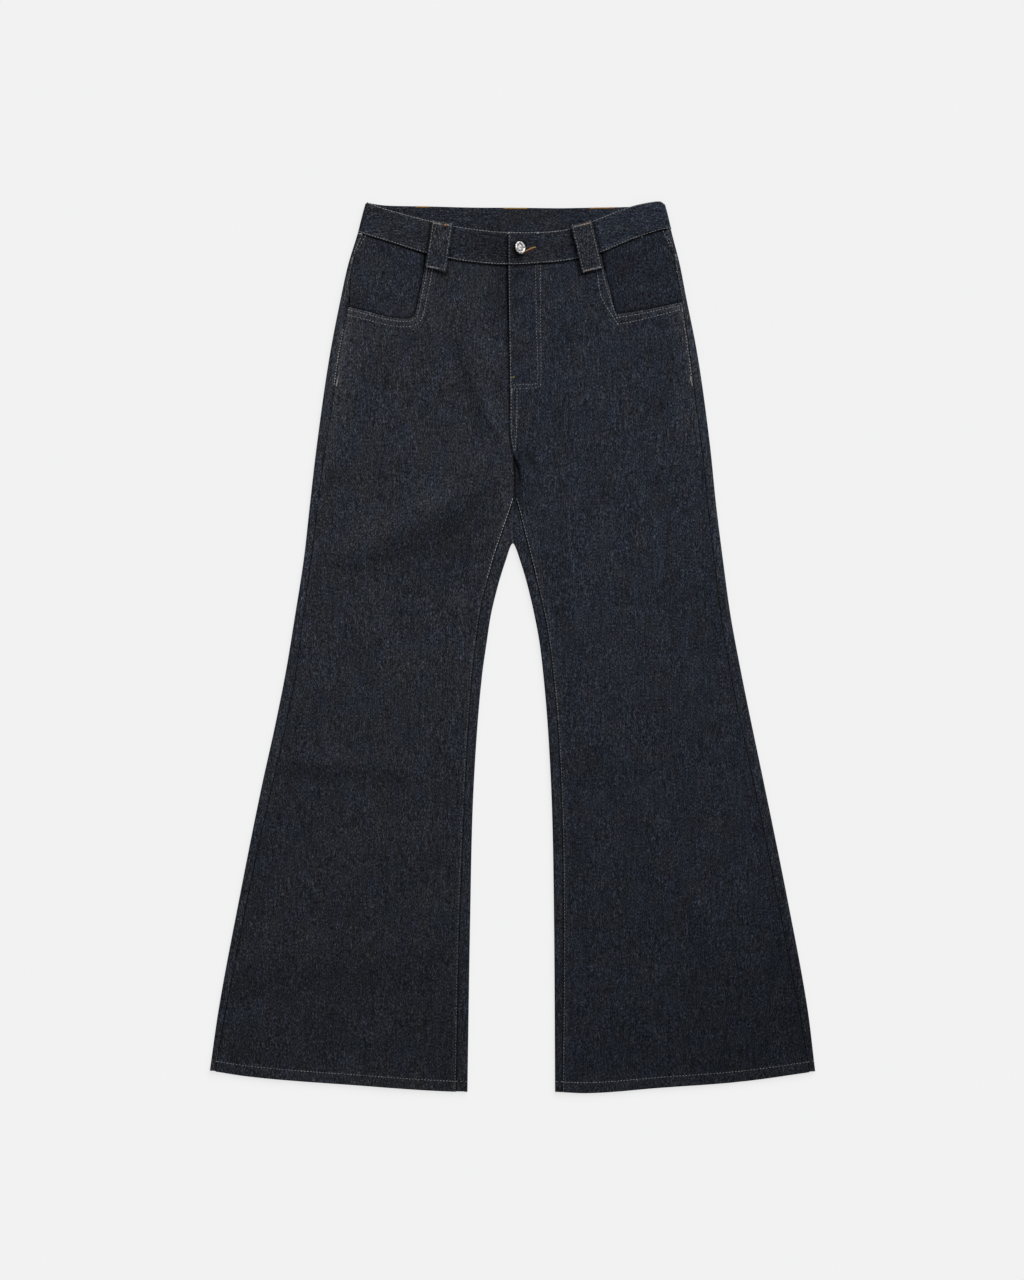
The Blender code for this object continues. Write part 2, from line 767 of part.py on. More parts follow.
def make_back(side, material, collection):
    """A back leg, folded round the leg's edges to the seams on the front."""
    sign = SIGN[side]
    centre = CENTRE_BACK + sign * 0.5 * SEAM_GAP
    inset_points = []
    for section in LEG_SECTIONS:
        across, down, inward_x, inward_d = inner_fold(side, section.back)
        radius = roll_radius(down)
        inset_points.append((across + inward_x * radius, down + inward_d * radius))
    inset_points[0] = (centre, inset_points[0][1])
    leg_end = INNER_EDGES[-1].down
    end_across = inner_edge[side](leg_end) + sign * roll_radius(leg_end)
    end_rows = hem_sections(0.0, hem(end_across), 0.0)
    inset_points += [
        (inner_edge[side](row.back) + sign * roll_radius(row.back), row.back) for row in end_rows
    ]
    Inset = namedtuple("Inset", "down across")
    inset = Curve([Inset(down, across) for across, down in inset_points], "down", "across")

    def inner(down):
        return centre if down <= inset_points[0][1] else inset(down)

    panel = Panel(
        outer=lambda down: side_edge[side](down) - sign * roll_radius(down),
        inner=inner,
        upper=lambda across: yoke_seam(across) + 0.5 * SEAM_GAP,
        lower=hem,
    )
    rows_of_inner = [(row.side, row.back) for row in HIP_SECTIONS]
    rows_of_inner[0] = (panel.outer_top[1], panel.inner_top[1])
    leg_sides = [row.side for row in LEG_SECTIONS]
    leg_sides += [row.side for row in hem_sections(panel.outer_end[1], 0.0, 0.0)]
    rows_of_inner += [(down, point[1]) for down, point in zip(leg_sides, inset_points)]

    cloth = Cloth()
    rows = []
    for outer_down, inner_down in rows_of_inner:
        thick = is_hem(panel.outer(outer_down), outer_down)
        row = side_columns(cloth, side, outer_down, thick)
        for i in range(BACK_COLUMNS + 1):
            across, down = panel.point(outer_down, inner_down, i / BACK_COLUMNS)
            row.append(cloth.point(across, down, under(across, down), is_hem(across, down)))
        rows.append(row)
    cloth.loft(rows, flip=side == LEFT)

    leg_rows = rows[len(HIP_SECTIONS):]
    inner_rows = []
    front_downs = [row.front for row in LEG_SECTIONS]
    front_end = Panel.corner(inseam[side], hem)[1]
    front_downs += [row.front for row in hem_sections(0.0, 0.0, front_end)]
    back_downs = [row.back for row in LEG_SECTIONS] + [row.back for row in end_rows]
    for row, front_down, back_down in zip(leg_rows, front_downs, back_downs):
        inner_rows.append(
            [row[-1]] + inner_columns(cloth, side, back_down, front_down, is_hem(0.0, back_down))
        )
    cloth.loft(inner_rows, flip=side == LEFT)
    return cloth.make(f"back_{side}", material, collection, HEM_CLOTH, CLOTH)


def inner_columns(cloth, side, back_down, front_down, thick):
    """One section's points from the underside, round the inner edge to the inseam."""
    sign = SIGN[side]
    across, down, inward_x, inward_d = inner_fold(side, back_down)
    radius = roll_radius(down)
    at_apex = back_down <= APEX_DOWN
    centre = CENTRE_BACK + sign * 0.5 * SEAM_GAP
    points = []
    for offset, height in fold_arc(radius):
        x = centre if at_apex else across + inward_x * offset
        points.append(cloth.point(x, down + inward_d * offset, height, thick))
    start = (centre if at_apex else across + inward_x * radius, down + inward_d * radius)
    end = (inseam[side](front_down) - sign * 0.5 * SEAM_GAP, front_down)
    if at_apex:
        end = (CROTCH_ACROSS + sign * 0.5 * SEAM_GAP, front_down + 0.5 * SEAM_GAP)
    for part in (0.0, 0.35, 0.7, 1.0):
        x = between(start[0], end[0], part)
        d = between(start[1], end[1], part)
        height = 2.0 * radius if part == 0.0 else front_height(x, d)
        points.append(cloth.point(x, d, height, thick))
    return points


def make_yoke(side, material, collection):
    """A back yoke, from the waistband to its seam, folded round the side."""
    sign = SIGN[side]
    panel = Panel(
        outer=lambda down: side_edge[side](down) - sign * roll_radius(down),
        inner=lambda down: CENTRE_BACK + sign * 0.5 * SEAM_GAP,
        upper=lambda across: back_band_seam(across) + BAND_GAP,
        lower=lambda across: yoke_seam(across) - 0.5 * SEAM_GAP,
    )
    cloth = Cloth()
    rows = []
    for w in (0.0, 0.33, 0.67, 1.0):
        outer_down = between(panel.outer_top[1], panel.outer_end[1], w)
        inner_down = between(panel.inner_top[1], panel.inner_end[1], w)

        def front_down(across, w=w):
            return between(front_band_seam(across) + BAND_GAP, panel.outer_end[1], w)

        row = side_columns(cloth, side, outer_down, 0.0, front_down)
        for i in range(YOKE_COLUMNS + 1):
            across, down = panel.point(outer_down, inner_down, i / YOKE_COLUMNS)
            row.append(cloth.point(across, down, under(across, down)))
        rows.append(row)
    cloth.loft(rows, flip=side == LEFT)
    return cloth.make(f"yoke_{side}", material, collection, CLOTH)


# ---------------------------------------------------------------- pockets
def make_facing(side, material, collection):
    """The denim facing that shows inside a pocket scoop."""
    sign = SIGN[side]
    edge = SCOOPS[side]
    upright = Curve(edge[:5], "down", "across")
    level = [row for row in edge if abs(row.across) > abs(edge[5].across)]
    level.sort(key=lambda row: row.across)
    lower_edge = Curve(level, "across", "down")
    panel = Panel(
        outer=lambda down: outseam(side, down) - sign * 0.5 * SEAM_GAP,
        inner=lambda down: upright(down) - sign * FACING_MARGIN,
        upper=lambda across: front_band_seam(across) + BAND_GAP,
        lower=lambda across: lower_edge(across) + FACING_MARGIN,
    )
    cloth = Cloth()
    rows = []
    for w in range(6):
        outer_down = between(panel.outer_top[1], panel.outer_end[1], w / 5.0)
        inner_down = between(panel.inner_top[1], panel.inner_end[1], w / 5.0)
        row = []
        for i in range(7):
            across, down = panel.point(outer_down, inner_down, i / 6.0)
            row.append(cloth.point(across, down, front_height(across, down)))
        rows.append(row)
    cloth.loft(rows, flip=side == RIGHT)
    return cloth.make(f"pocket_facing_{side}", material, collection, CLOTH)


def make_back_pocket(side, material, collection):
    """A plain patch pocket with a pointed end, flat on the surface."""
    sign = SIGN[side]
    outline = (
        (POCKET_INNER, POCKET_TOP), (POCKET_OUTER, POCKET_TOP),
        (POCKET_OUTER - POCKET_TAPER, POCKET_END - POCKET_POINT),
        (0.5 * (POCKET_INNER + POCKET_OUTER), POCKET_END),
        (POCKET_INNER + POCKET_TAPER, POCKET_END - POCKET_POINT),
    )
    shape = bpy.data.curves.new(f"back_pocket_{side}", "CURVE")
    shape.dimensions = "2D"
    shape.fill_mode = "BOTH"
    shape.extrude = 0.5 * CLOTH * MM
    line = shape.splines.new("POLY")
    line.points.add(len(outline) - 1)
    for point, (across, down) in zip(line.points, outline):
        spot = place(sign * across, down, 0.0)
        point.co = (spot.x, spot.y, 0.0, 1.0)
    line.use_cyclic_u = True
    shape.materials.append(material)
    pocket = bpy.data.objects.new(shape.name, shape)
    pocket.location.z = 0.5 * CLOTH * MM
    collection.objects.link(pocket)
    return pocket


# ---------------------------------------------------------------- waistband and loops
BAND_ROWS = 4
BAND_FRONT_COLUMNS = 14
BAND_BACK_COLUMNS = 22


def band_line(table):
    """The waistband's edges at a place along it."""
    return {name: Curve(table, "place", name) for name in Band._fields[1:]}


def band_point(edges, spot, part):
    """A point of the waistband, from its top edge to its seam."""
    return (
        between(edges["top_across"](spot), edges["seam_across"](spot), part),
        between(edges["top_down"](spot), edges["seam_down"](spot), part),
    )


def place_of_edge(table, across):
    """The place along the waistband whose top edge is at a given distance across."""
    edges = band_line(table)
    low, high = 0.0, table[-1].place
    for _ in range(30):
        middle = 0.5 * (low + high)
        if edges["top_across"](middle) < across:
            low = middle
        else:
            high = middle
    return low


def make_waistband(material, collection, cutters):
    """The waistband, one strip that laps over itself at the button."""
    front = band_line(FRONT_BAND)
    back = band_line(BACK_BAND)
    radius = roll_radius(0.0) + 0.5 * BAND_STEP
    cloth = Cloth()
    columns = []

    def front_column(spot, overlap):
        column = []
        for i in range(BAND_ROWS + 1):
            across, down = band_point(front, spot, i / BAND_ROWS)
            height = band_height(across, down, overlap)
            column.append(cloth.point(across, down, height))
        columns.append(column)

    def back_column(spot):
        column = []
        for i in range(BAND_ROWS + 1):
            across, down = band_point(back, spot, i / BAND_ROWS)
            column.append(cloth.point(across, down, under(across, down)))
        columns.append(column)

    def fold_columns(spot, sign, upwards):
        steps = fold_arc(radius)
        for offset, height in steps if upwards else reversed(steps):
            column = []
            for i in range(BAND_ROWS + 1):
                across, down = band_point(front, spot, i / BAND_ROWS)
                column.append(cloth.point(across - sign * offset, down, height))
            columns.append(column)

    underlap_end = place_of_edge(FRONT_BAND, BAND_UNDERLAP_EDGE)
    right_start = place_of_edge(FRONT_BAND, FRONT_BAND[0].top_across + radius)
    left_start = place_of_edge(FRONT_BAND, FRONT_BAND[-1].top_across - radius)
    overlap_end = place_of_edge(FRONT_BAND, FLY_EDGE)
    back_right = place_of_edge(BACK_BAND, BACK_BAND[0].top_across + radius)
    back_left = place_of_edge(BACK_BAND, BACK_BAND[-1].top_across - radius)
    for i in range(BAND_FRONT_COLUMNS + 1):
        front_column(between(underlap_end, right_start, i / BAND_FRONT_COLUMNS), overlap=False)
    fold_columns(0.0, SIGN[RIGHT], upwards=False)
    for i in range(BAND_BACK_COLUMNS + 1):
        back_column(between(back_right, back_left, i / BAND_BACK_COLUMNS))
    fold_columns(FRONT_BAND[-1].place, SIGN[LEFT], upwards=True)
    for i in range(BAND_FRONT_COLUMNS + 1):
        front_column(between(left_start, overlap_end, i / BAND_FRONT_COLUMNS), overlap=True)
    cloth.loft(columns, flip=True)
    band = cloth.make("waistband", material, collection, BAND_CLOTH)
    cut = band.modifiers.new("buttonhole", "BOOLEAN")
    cut.operation = "DIFFERENCE"
    cut.object = make_buttonhole(cutters)
    return band


def make_buttonhole(cutters):
    """The keyhole slot, cut through the overlapping end only."""
    floor = band_height(BUTTON_ACROSS, BUTTON_DOWN, False) + 0.5 * LAYER_GAP
    slot = bmesh.new()
    box = bmesh.ops.create_cube(slot, size=1.0)
    middle = place(BUTTON_ACROSS + 0.5 * BUTTONHOLE_LENGTH, BUTTON_DOWN - 0.4, floor + 10.0)
    size = Matrix.Diagonal((BUTTONHOLE_LENGTH * MM, BUTTONHOLE_WIDTH * MM, 20.0 * MM, 1.0))
    bmesh.ops.transform(slot, matrix=Matrix.Translation(middle) @ size, verts=box["verts"])
    bar = bpy.data.meshes.new("buttonhole_slot")
    slot.to_mesh(bar)
    slot.free()
    eye = bmesh.new()
    bmesh.ops.create_cone(
        eye, cap_ends=True, segments=16, radius1=0.5 * EYELET * MM, radius2=0.5 * EYELET * MM,
        depth=20.0 * MM, matrix=Matrix.Translation(place(BUTTON_ACROSS, BUTTON_DOWN, floor + 10.0)))
    ring = bpy.data.meshes.new("buttonhole")
    eye.to_mesh(ring)
    eye.free()
    slot_object = add_cutter(bar, cutters)
    hole = add_cutter(ring, cutters)
    join = hole.modifiers.new("slot", "BOOLEAN")
    join.operation = "UNION"
    join.object = slot_object
    return hole


def make_front_loop(side, material, collection):
    """A belt loop on the front, over the waistband and on to the leg below it."""
    ends = FRONT_LOOPS[side]
    length = math.hypot(ends.end_across - ends.top_across, ends.end_down - ends.top_down)
    along = ((ends.end_across - ends.top_across) / length, (ends.end_down - ends.top_down) / length)
    aside = (along[1], -along[0])
    turns = (LOOP_TURN - 0.02, LOOP_TURN + 0.02)
    spots = (0.0, *turns, 0.38, 0.62, *(1.0 - turn for turn in reversed(turns)), 1.0)

    def support(across, down):
        if down < front_band_seam(across) + BAND_GAP:
            return band_height(across, down, side == LEFT)
        return front_panel_height(side, across, down)

    def spot_point(part, offset):
        return (
            ends.top_across + along[0] * part * length + aside[0] * offset,
            ends.top_down + along[1] * part * length + aside[1] * offset,
        )

    offsets = [between(-0.5, 0.5, i / 3.0) * LOOP_WIDTH for i in range(4)]

    def highest_support(part):
        return max(
            support(*spot_point(part + shift * LOOP_REACH, offset))
            for shift in (-1.0, -0.5, 0.0, 0.5, 1.0)
            for offset in offsets
        )

    cloth = Cloth()
    rows = []
    for part in spots:
        doubled = 1.0 if min(part, 1.0 - part) < LOOP_TURN else 0.0
        arch = LOOP_ARCH * math.sin(math.pi * part)
        height = highest_support(part) + LOOP_GAP + LOOP_END_CLOTH + arch
        rows.append([
            cloth.point(*spot_point(part, offset), height, doubled) for offset in offsets
        ])
    cloth.loft(rows, flip=True)
    return cloth.make(f"belt_loop_front_{side}", material, collection, LOOP_END_CLOTH, LOOP_CLOTH)


def make_back_loop(name, material, collection):
    """A belt loop at the back, pressed flat between the waistband and the surface."""
    middle = BACK_LOOPS[name]
    loop = bmesh.new()
    bmesh.ops.create_cube(loop, size=1.0)
    size = Matrix.Diagonal((
        LOOP_WIDTH * MM, (BACK_LOOP_END - BACK_LOOP_TOP) * MM, LOOP_CLOTH * MM, 1.0))
    centre = place(middle, 0.5 * (BACK_LOOP_TOP + BACK_LOOP_END), 0.5 * LOOP_CLOTH)
    bmesh.ops.transform(loop, matrix=Matrix.Translation(centre) @ size, verts=loop.verts)
    data = bpy.data.meshes.new(f"belt_loop_back_{name}")
    loop.to_mesh(data)
    loop.free()
    data.materials.append(material)
    obj = bpy.data.objects.new(data.name, data)
    collection.objects.link(obj)
    edge = obj.modifiers.new("soft edge", "BEVEL")
    edge.width = 0.7 * MM
    edge.segments = 2
    return obj


# ---------------------------------------------------------------- button and zip
def make_button(material, collection):
    """The shank button: a tilted domed cap on a post that stands in the buttonhole."""
    floor = band_height(BUTTON_ACROSS, BUTTON_DOWN, False) + LAYER_GAP
    cloth_top = band_height(BUTTON_ACROSS, BUTTON_DOWN, True)
    radius = 0.5 * BUTTON_DIAMETER
    cap_height = cloth_top + radius * math.sin(BUTTON_TILT) + LAYER_GAP
    # Each point of the cap's profile: its part of the radius, its height in millimetres.
    profile = (
        (0.0, 2.3), (0.3, 2.28), (0.55, 2.1), (0.8, 1.75), (0.93, 1.45), (1.0, 0.95),
        (1.0, 0.35), (0.95, 0.0), (0.0, 0.0),
    )
    cap = bmesh.new()
    ring = [cap.verts.new((radius * reach * MM, 0.0, height * MM)) for reach, height in profile]
    edges = [cap.edges.new(pair) for pair in zip(ring, ring[1:])]
    bmesh.ops.spin(
        cap, geom=ring + edges, axis=(0.0, 0.0, 1.0), cent=(0.0, 0.0, 0.0),
        angle=2.0 * math.pi, steps=24, use_merge=True)
    bmesh.ops.remove_doubles(cap, verts=cap.verts, dist=0.01 * MM)
    bmesh.ops.recalc_face_normals(cap, faces=cap.faces)
    turn = Matrix.Rotation(BUTTON_LEAN, 4, "Z") @ Matrix.Rotation(BUTTON_TILT, 4, "Y")
    centre = place(BUTTON_ACROSS, BUTTON_DOWN, cap_height)
    bmesh.ops.transform(cap, matrix=Matrix.Translation(centre) @ turn, verts=cap.verts)
    data = bpy.data.meshes.new("button")
    cap.to_mesh(data)
    cap.free()
    data.materials.append(material)
    data.shade_smooth()
    data.set_sharp_from_angle(angle=math.radians(40.0))
    button = bpy.data.objects.new("button", data)
    collection.objects.link(button)

    post = bmesh.new()
    depth = cap_height + BUTTON_POST_SUNK - floor
    bmesh.ops.create_cone(
        post, cap_ends=True, segments=16, radius1=0.5 * BUTTON_POST * MM,
        radius2=0.42 * BUTTON_POST * MM, depth=depth * MM,
        matrix=Matrix.Translation(place(BUTTON_ACROSS, BUTTON_DOWN, floor + 0.5 * depth)))
    stem = bpy.data.meshes.new("button_post")
    post.to_mesh(stem)
    post.free()
    return button, stem


def join_post(button, stem, cutters):
    """Makes the button's cap and post one solid."""
    post = add_cutter(stem, cutters)
    join = button.modifiers.new("post", "BOOLEAN")
    join.operation = "UNION"
    join.object = post


def make_zip_tape(material, collection):
    """The closed zip's tapes and chain, under the fly."""
    cloth = Cloth()
    rows = []
    for w in range(9):
        down = between(ZIP_TOP, ZIP_END, w / 8.0)
        row = []
        for i in range(5):
            across = ZIP_MIDDLE + between(-0.5, 0.5, i / 4.0) * ZIP_WIDTH
            height = front_height(across, down) - CLOTH + ZIP_TAPE
            row.append(cloth.point(across, down, height))
        rows.append(row)
    cloth.loft(rows, flip=True)
    return cloth.make("zip_tape", material, collection, ZIP_TAPE)


def make_zip_slider(material, collection, cutters):
    """The zip's slider at the top of its chain, with its pull lying flat below it."""
    reach = (ZIP_TOP + 1.0, ZIP_TOP + SLIDER_LENGTH + PULL_LENGTH)
    seat = max(front_height(ZIP_MIDDLE + x, down) for down in reach for x in (-4.0, 0.0, 4.0))
    middle = seat - CLOTH + ZIP_TAPE + LAYER_GAP + 0.5 * SLIDER_HEIGHT
    blocks = []
    for name, width, length, start in (
        ("zip_slider", 7.0, SLIDER_LENGTH, reach[0]),
        ("zip_pull", 3.6, PULL_LENGTH, reach[0] + SLIDER_LENGTH - 1.0),
    ):
        block = bmesh.new()
        bmesh.ops.create_cube(block, size=1.0)
        size = Matrix.Diagonal((width * MM, length * MM, SLIDER_HEIGHT * MM, 1.0))
        centre = place(ZIP_MIDDLE, start + 0.5 * length, middle)
        bmesh.ops.transform(block, matrix=Matrix.Translation(centre) @ size, verts=block.verts)
        data = bpy.data.meshes.new(name)
        block.to_mesh(data)
        block.free()
        blocks.append(data)
    blocks[0].materials.append(material)
    slider = bpy.data.objects.new("zip_slider", blocks[0])
    collection.objects.link(slider)
    join = slider.modifiers.new("pull", "BOOLEAN")
    join.operation = "UNION"
    join.object = add_cutter(blocks[1], cutters)
    return slider


def main():
    """Builds the jeans."""
    clear_scene()
    jeans = new_collection("flared_jeans")
    cutters = new_collection("cutters")
    denim = finish_material("dark_denim", (0.022, 0.025, 0.033), 0.86, 0.0)
    inside = finish_material("denim_facing", (0.019, 0.022, 0.030), 0.88, 0.0)
    metal = finish_material("silver_metal", (0.62, 0.61, 0.59), 0.28, 1.0)
    tape = finish_material("zip_tape", (0.012, 0.013, 0.017), 0.9, 0.0)
    for side in SIGN:
        make_front(side, denim, jeans, cutters)
        make_back(side, denim, jeans)
        make_yoke(side, denim, jeans)
        make_facing(side, inside, jeans)
        make_back_pocket(side, denim, jeans)
        make_front_loop(side, denim, jeans)
    for name in BACK_LOOPS:
        make_back_loop(name, denim, jeans)
    make_waistband(denim, jeans, cutters)
    button, stem = make_button(metal, jeans)
    join_post(button, stem, cutters)
    make_zip_tape(tape, jeans)
    make_zip_slider(metal, jeans, cutters)


main()
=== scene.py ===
"""Looks of dark flared jeans, fastened at the waist and laid flat on their back.

The cloth is made as thin shells on the solids of the frame, with seams, folds and sewing. Sizes
are in millimetres: "across" runs along +X, "down" runs from the top of the waistband to the hems
along -Y, and "height" is above the surface that the jeans lie on. Left and right are the wearer's.
"""

from __future__ import annotations

import logging
import math
from collections.abc import Callable, Sequence
from dataclasses import dataclass, field
from enum import Enum
from typing import Any, NamedTuple

import bmesh
import bpy
import numpy as np
from bpy.types import ID, Material, Mesh, Node, NodeSocket, NodeTree, Object
from mathutils import Matrix, Vector
from mathutils.bvhtree import BVHTree

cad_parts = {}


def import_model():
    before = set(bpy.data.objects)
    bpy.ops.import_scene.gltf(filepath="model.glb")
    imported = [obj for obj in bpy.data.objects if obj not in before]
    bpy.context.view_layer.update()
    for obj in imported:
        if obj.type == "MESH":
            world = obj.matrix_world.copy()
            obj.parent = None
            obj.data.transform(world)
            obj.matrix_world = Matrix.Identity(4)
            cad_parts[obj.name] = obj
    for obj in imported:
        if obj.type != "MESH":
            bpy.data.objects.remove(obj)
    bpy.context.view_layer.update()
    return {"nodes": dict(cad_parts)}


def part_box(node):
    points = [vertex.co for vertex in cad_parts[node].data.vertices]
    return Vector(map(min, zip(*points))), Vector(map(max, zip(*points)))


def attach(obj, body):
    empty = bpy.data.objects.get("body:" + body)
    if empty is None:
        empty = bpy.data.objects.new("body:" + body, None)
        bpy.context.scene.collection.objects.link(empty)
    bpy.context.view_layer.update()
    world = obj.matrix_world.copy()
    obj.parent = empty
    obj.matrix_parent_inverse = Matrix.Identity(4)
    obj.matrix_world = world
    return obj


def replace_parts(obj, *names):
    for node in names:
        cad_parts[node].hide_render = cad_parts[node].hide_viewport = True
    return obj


LOG = logging.getLogger("jeans")
Array = np.ndarray

MM = 0.001
ORIGIN_ACROSS = 0.6        # where the frame's origin lies, in the jeans' own measures
ORIGIN_DOWN = 535.3

CLOTH = 1.2                # one layer of denim
BAND_CLOTH = 2.4           # the waistband, denim on both sides
BAND_WIDTH = 37.0
LOOP_CLOTH = 2.2           # a belt loop, folded in three
TAPE = 0.7                 # the zip's woven tape
SEAM_GAP = 0.3
HALF_GAP = 0.5 * SEAM_GAP
BAND_GAP = 0.5
CLOSED = 0.03              # half of a gap that no light comes through
AT_APEX = 0.01             # how near the top of the gap between the legs counts as at it
FAR = 99.0                 # a distance at which nothing of a seam is left
ABOVE_ALL = 0.2            # in metres, farther out than any part of the jeans
STEP = 1.5                 # between the points of a drawn line
UPPER_LAYER = 1.8          # a folded leg's upper layer lies above this height, its lower one below
HEM_DEPTH = 12.6           # from the hem's fold to its stitches
CENTRE_BACK = 1.2
CROTCH_ACROSS = 3.3
CROTCH_DOWN = 354.6
APEX_ACROSS = 1.2
APEX_DOWN = 410.4
FLY_EDGE = -4.8
FLY_END = 226.0
UNDERLAP_EDGE = 14.0
BAND_UNDERLAP_EDGE = 31.0
POCKET_END = 150.0         # below the front pockets
SIDE_STITCH_END = 220.0    # where the outseam's topstitching ends in a bartack
EDGE_STITCH = 2.2          # a stitch line's distance from the edge that it follows
SECOND_STITCH = 8.4        # and that of the second line, where there are two
SCOOP_STITCHES = (3.4, 9.8)


class Leg(Enum):
    """The two legs, by the sign of the side that they lie on, and the names of what is theirs."""

    RIGHT = -1
    LEFT = 1

    @property
    def sign(self) -> float:
        """-1 on the wearer's right, 1 on the left."""
        return float(self.value)

    @property
    def word(self) -> str:
        """The leg's name in the frame's nodes."""
        return self.name.lower()

    @property
    def front(self) -> str:
        """Its front panel."""
        return f"leg_front_{self.word}"

    @property
    def back(self) -> str:
        """Its back panel."""
        return f"leg_back_{self.word}"

    @property
    def yoke(self) -> str:
        """The yoke above it."""
        return f"back_yoke_{self.word}"

    @property
    def front_sewing(self) -> str:
        """The stitches of its front."""
        return f"stitching_front_{self.word}"

    @property
    def back_sewing(self) -> str:
        """The stitches of its back."""
        return f"stitching_back_{self.word}"


class Face(Enum):
    """Which way a surface is reached along upright lines."""

    UP = 1
    UNDER = -1


def rows_of(kind: Callable[..., Any], *numbers: Sequence[float]) -> tuple[Any, ...]:
    """A table's rows, each from its own numbers."""
    return tuple(kind(*row) for row in numbers)


# ---- curves
class Curve:
    """A smooth line through rows of a table."""

    def __init__(
        self,
        places: Sequence[float],
        values: Sequence[float],
        warp: Callable[[Array], Array] = lambda place: place,
    ) -> None:
        """Reads the line's knots.

        Args:
            places: where each knot is, rising.
            values: the knots' values.
            warp: draws out the places, for a line that turns quickly.
        """
        self.warp = warp
        self.places = warp(np.asarray(places, float))
        self.values = np.asarray(values, float)
        steps = np.diff(self.values) / np.diff(self.places)
        self.slopes = np.concatenate(([steps[0]], 0.5 * (steps[1:] + steps[:-1]), [steps[-1]]))

    def __call__(self, place: Any) -> Array:
        """The values at some places."""
        place = np.clip(self.warp(np.asarray(place, float)), self.places[0], self.places[-1])
        i = np.clip(np.searchsorted(self.places, place, side="right") - 1, 0, len(self.places) - 2)
        span = self.places[i + 1] - self.places[i]
        t = (place - self.places[i]) / span
        return (
            self.values[i] * (1.0 + 2.0 * t) * (1.0 - t) ** 2
            + self.slopes[i] * span * t * (1.0 - t) ** 2
            + self.values[i + 1] * t * t * (3.0 - 2.0 * t)
            + self.slopes[i + 1] * span * t * t * (t - 1.0)
        )


class EdgeRow(NamedTuple):
    """How far across an edge lies on each leg."""

    down: float
    right: float
    left: float


SIDE_EDGES = rows_of(
    EdgeRow, (0.0, -175.6, 182.8), (38.0, -184.8, 191.4), (76.0, -196.4, 201.2), (112.0, -204.4, 208.2),
    (184.0, -218.4, 222.4), (292.0, -234.0, 237.4), (364.0, -242.4, 244.8), (430.0, -249.8, 253.0),
    (497.0, -260.2, 262.2), (565.0, -271.4, 274.8), (632.0, -284.8, 288.4), (699.0, -299.6, 302.4),
    (833.0, -326.4, 329.6), (968.0, -351.6, 354.4), (1043.0, -362.4, 363.6),
)
OUTSEAM_INSETS = rows_of(
    EdgeRow, (38.0, 6.0, 6.0), (84.0, 5.6, 6.0), (102.0, 8.0, 6.2), (126.0, 12.2, 6.6),
    (150.0, 12.0, 8.0), (184.0, 11.6, 9.4), (250.0, 12.0, 11.0), (330.0, 9.8, 10.4), (450.0, 9.0, 11.2),
    (580.0, 12.6, 13.4), (680.0, 12.8, 12.8), (800.0, 10.2, 12.2), (930.0, 9.6, 12.0),
    (1043.0, 7.0, 7.6),
)
INNER_EDGES = rows_of(
    EdgeRow, (410.4, 1.2, 1.2), (413.0, -1.4, 3.2), (418.0, -3.4, 5.4), (430.0, -7.2, 9.4),
    (464.0, -17.6, 19.4), (497.0, -25.4, 27.0), (531.0, -30.6, 33.2), (565.0, -35.4, 37.2),
    (632.0, -41.6, 43.0), (732.0, -47.2, 48.0), (867.0, -50.2, 50.4), (1068.0, -53.4, 51.6),
)
INSEAMS = rows_of(
    EdgeRow, (354.6, 3.3, 3.3), (369.0, -1.2, 7.4), (394.0, -10.0, 13.6), (423.0, -19.8, 21.2),
    (450.0, -27.6, 27.8), (482.0, -36.0, 35.4), (521.0, -42.2, 43.0), (565.0, -47.4, 48.6),
    (632.0, -52.4, 54.6), (732.0, -57.6, 59.4), (867.0, -62.8, 61.2), (1068.0, -66.6, 59.8),
)


class Spot(NamedTuple):
    """A place on the jeans."""

    across: float
    down: float


CENTRE_FRONTS = rows_of(Spot, (-4.8, 60.0), (-2.4, 226.0), (-1.4, 286.0), (2.0, 310.0), (3.3, 354.6))
HEMS = rows_of(
    Spot, (-362.4, 1042.4), (-316.8, 1049.4), (-181.2, 1060.4), (-85.2, 1067.0), (-53.4, 1067.8),
    (51.6, 1067.8), (88.8, 1069.4), (180.0, 1062.8), (276.0, 1055.4), (363.6, 1043.2),
)


class BandRow(NamedTuple):
    """A cut across the waistband, from its top edge to its seam."""

    spot: float
    top_across: float
    top_down: float
    seam_across: float
    seam_down: float


FRONT_BAND = rows_of(
    BandRow, (0.0, -175.8, 1.2, -184.8, 38.4), (1.0, -141.6, 12.8, -147.6, 50.0),
    (2.0, -96.0, 24.6, -101.0, 64.2), (3.0, -54.0, 32.4, -56.0, 73.0), (4.0, -4.8, 37.6, -4.8, 77.2),
    (5.0, 36.0, 37.4, 37.0, 75.2), (6.0, 68.4, 33.4, 73.0, 70.8), (7.0, 96.6, 24.4, 106.0, 62.8),
    (8.0, 136.2, 8.8, 143.0, 47.6), (9.0, 170.4, 1.2, 175.6, 36.6), (10.0, 183.6, 2.2, 191.0, 34.0),
)
BACK_BAND = rows_of(
    BandRow, (0.0, -175.8, 1.2, -184.8, 37.8), (1.0, -164.0, 3.6, -171.0, 40.6),
    (2.0, -148.0, 5.4, -152.0, 43.0), (4.0, -99.6, 6.6, -102.0, 45.2), (8.0, 1.2, 8.2, 1.2, 46.6),
    (12.0, 100.0, 8.0, 102.0, 45.6), (14.0, 148.0, 6.6, 153.0, 42.6), (15.0, 167.0, 4.6, 173.0, 38.8),
    (16.0, 183.6, 2.2, 191.0, 34.0),
)


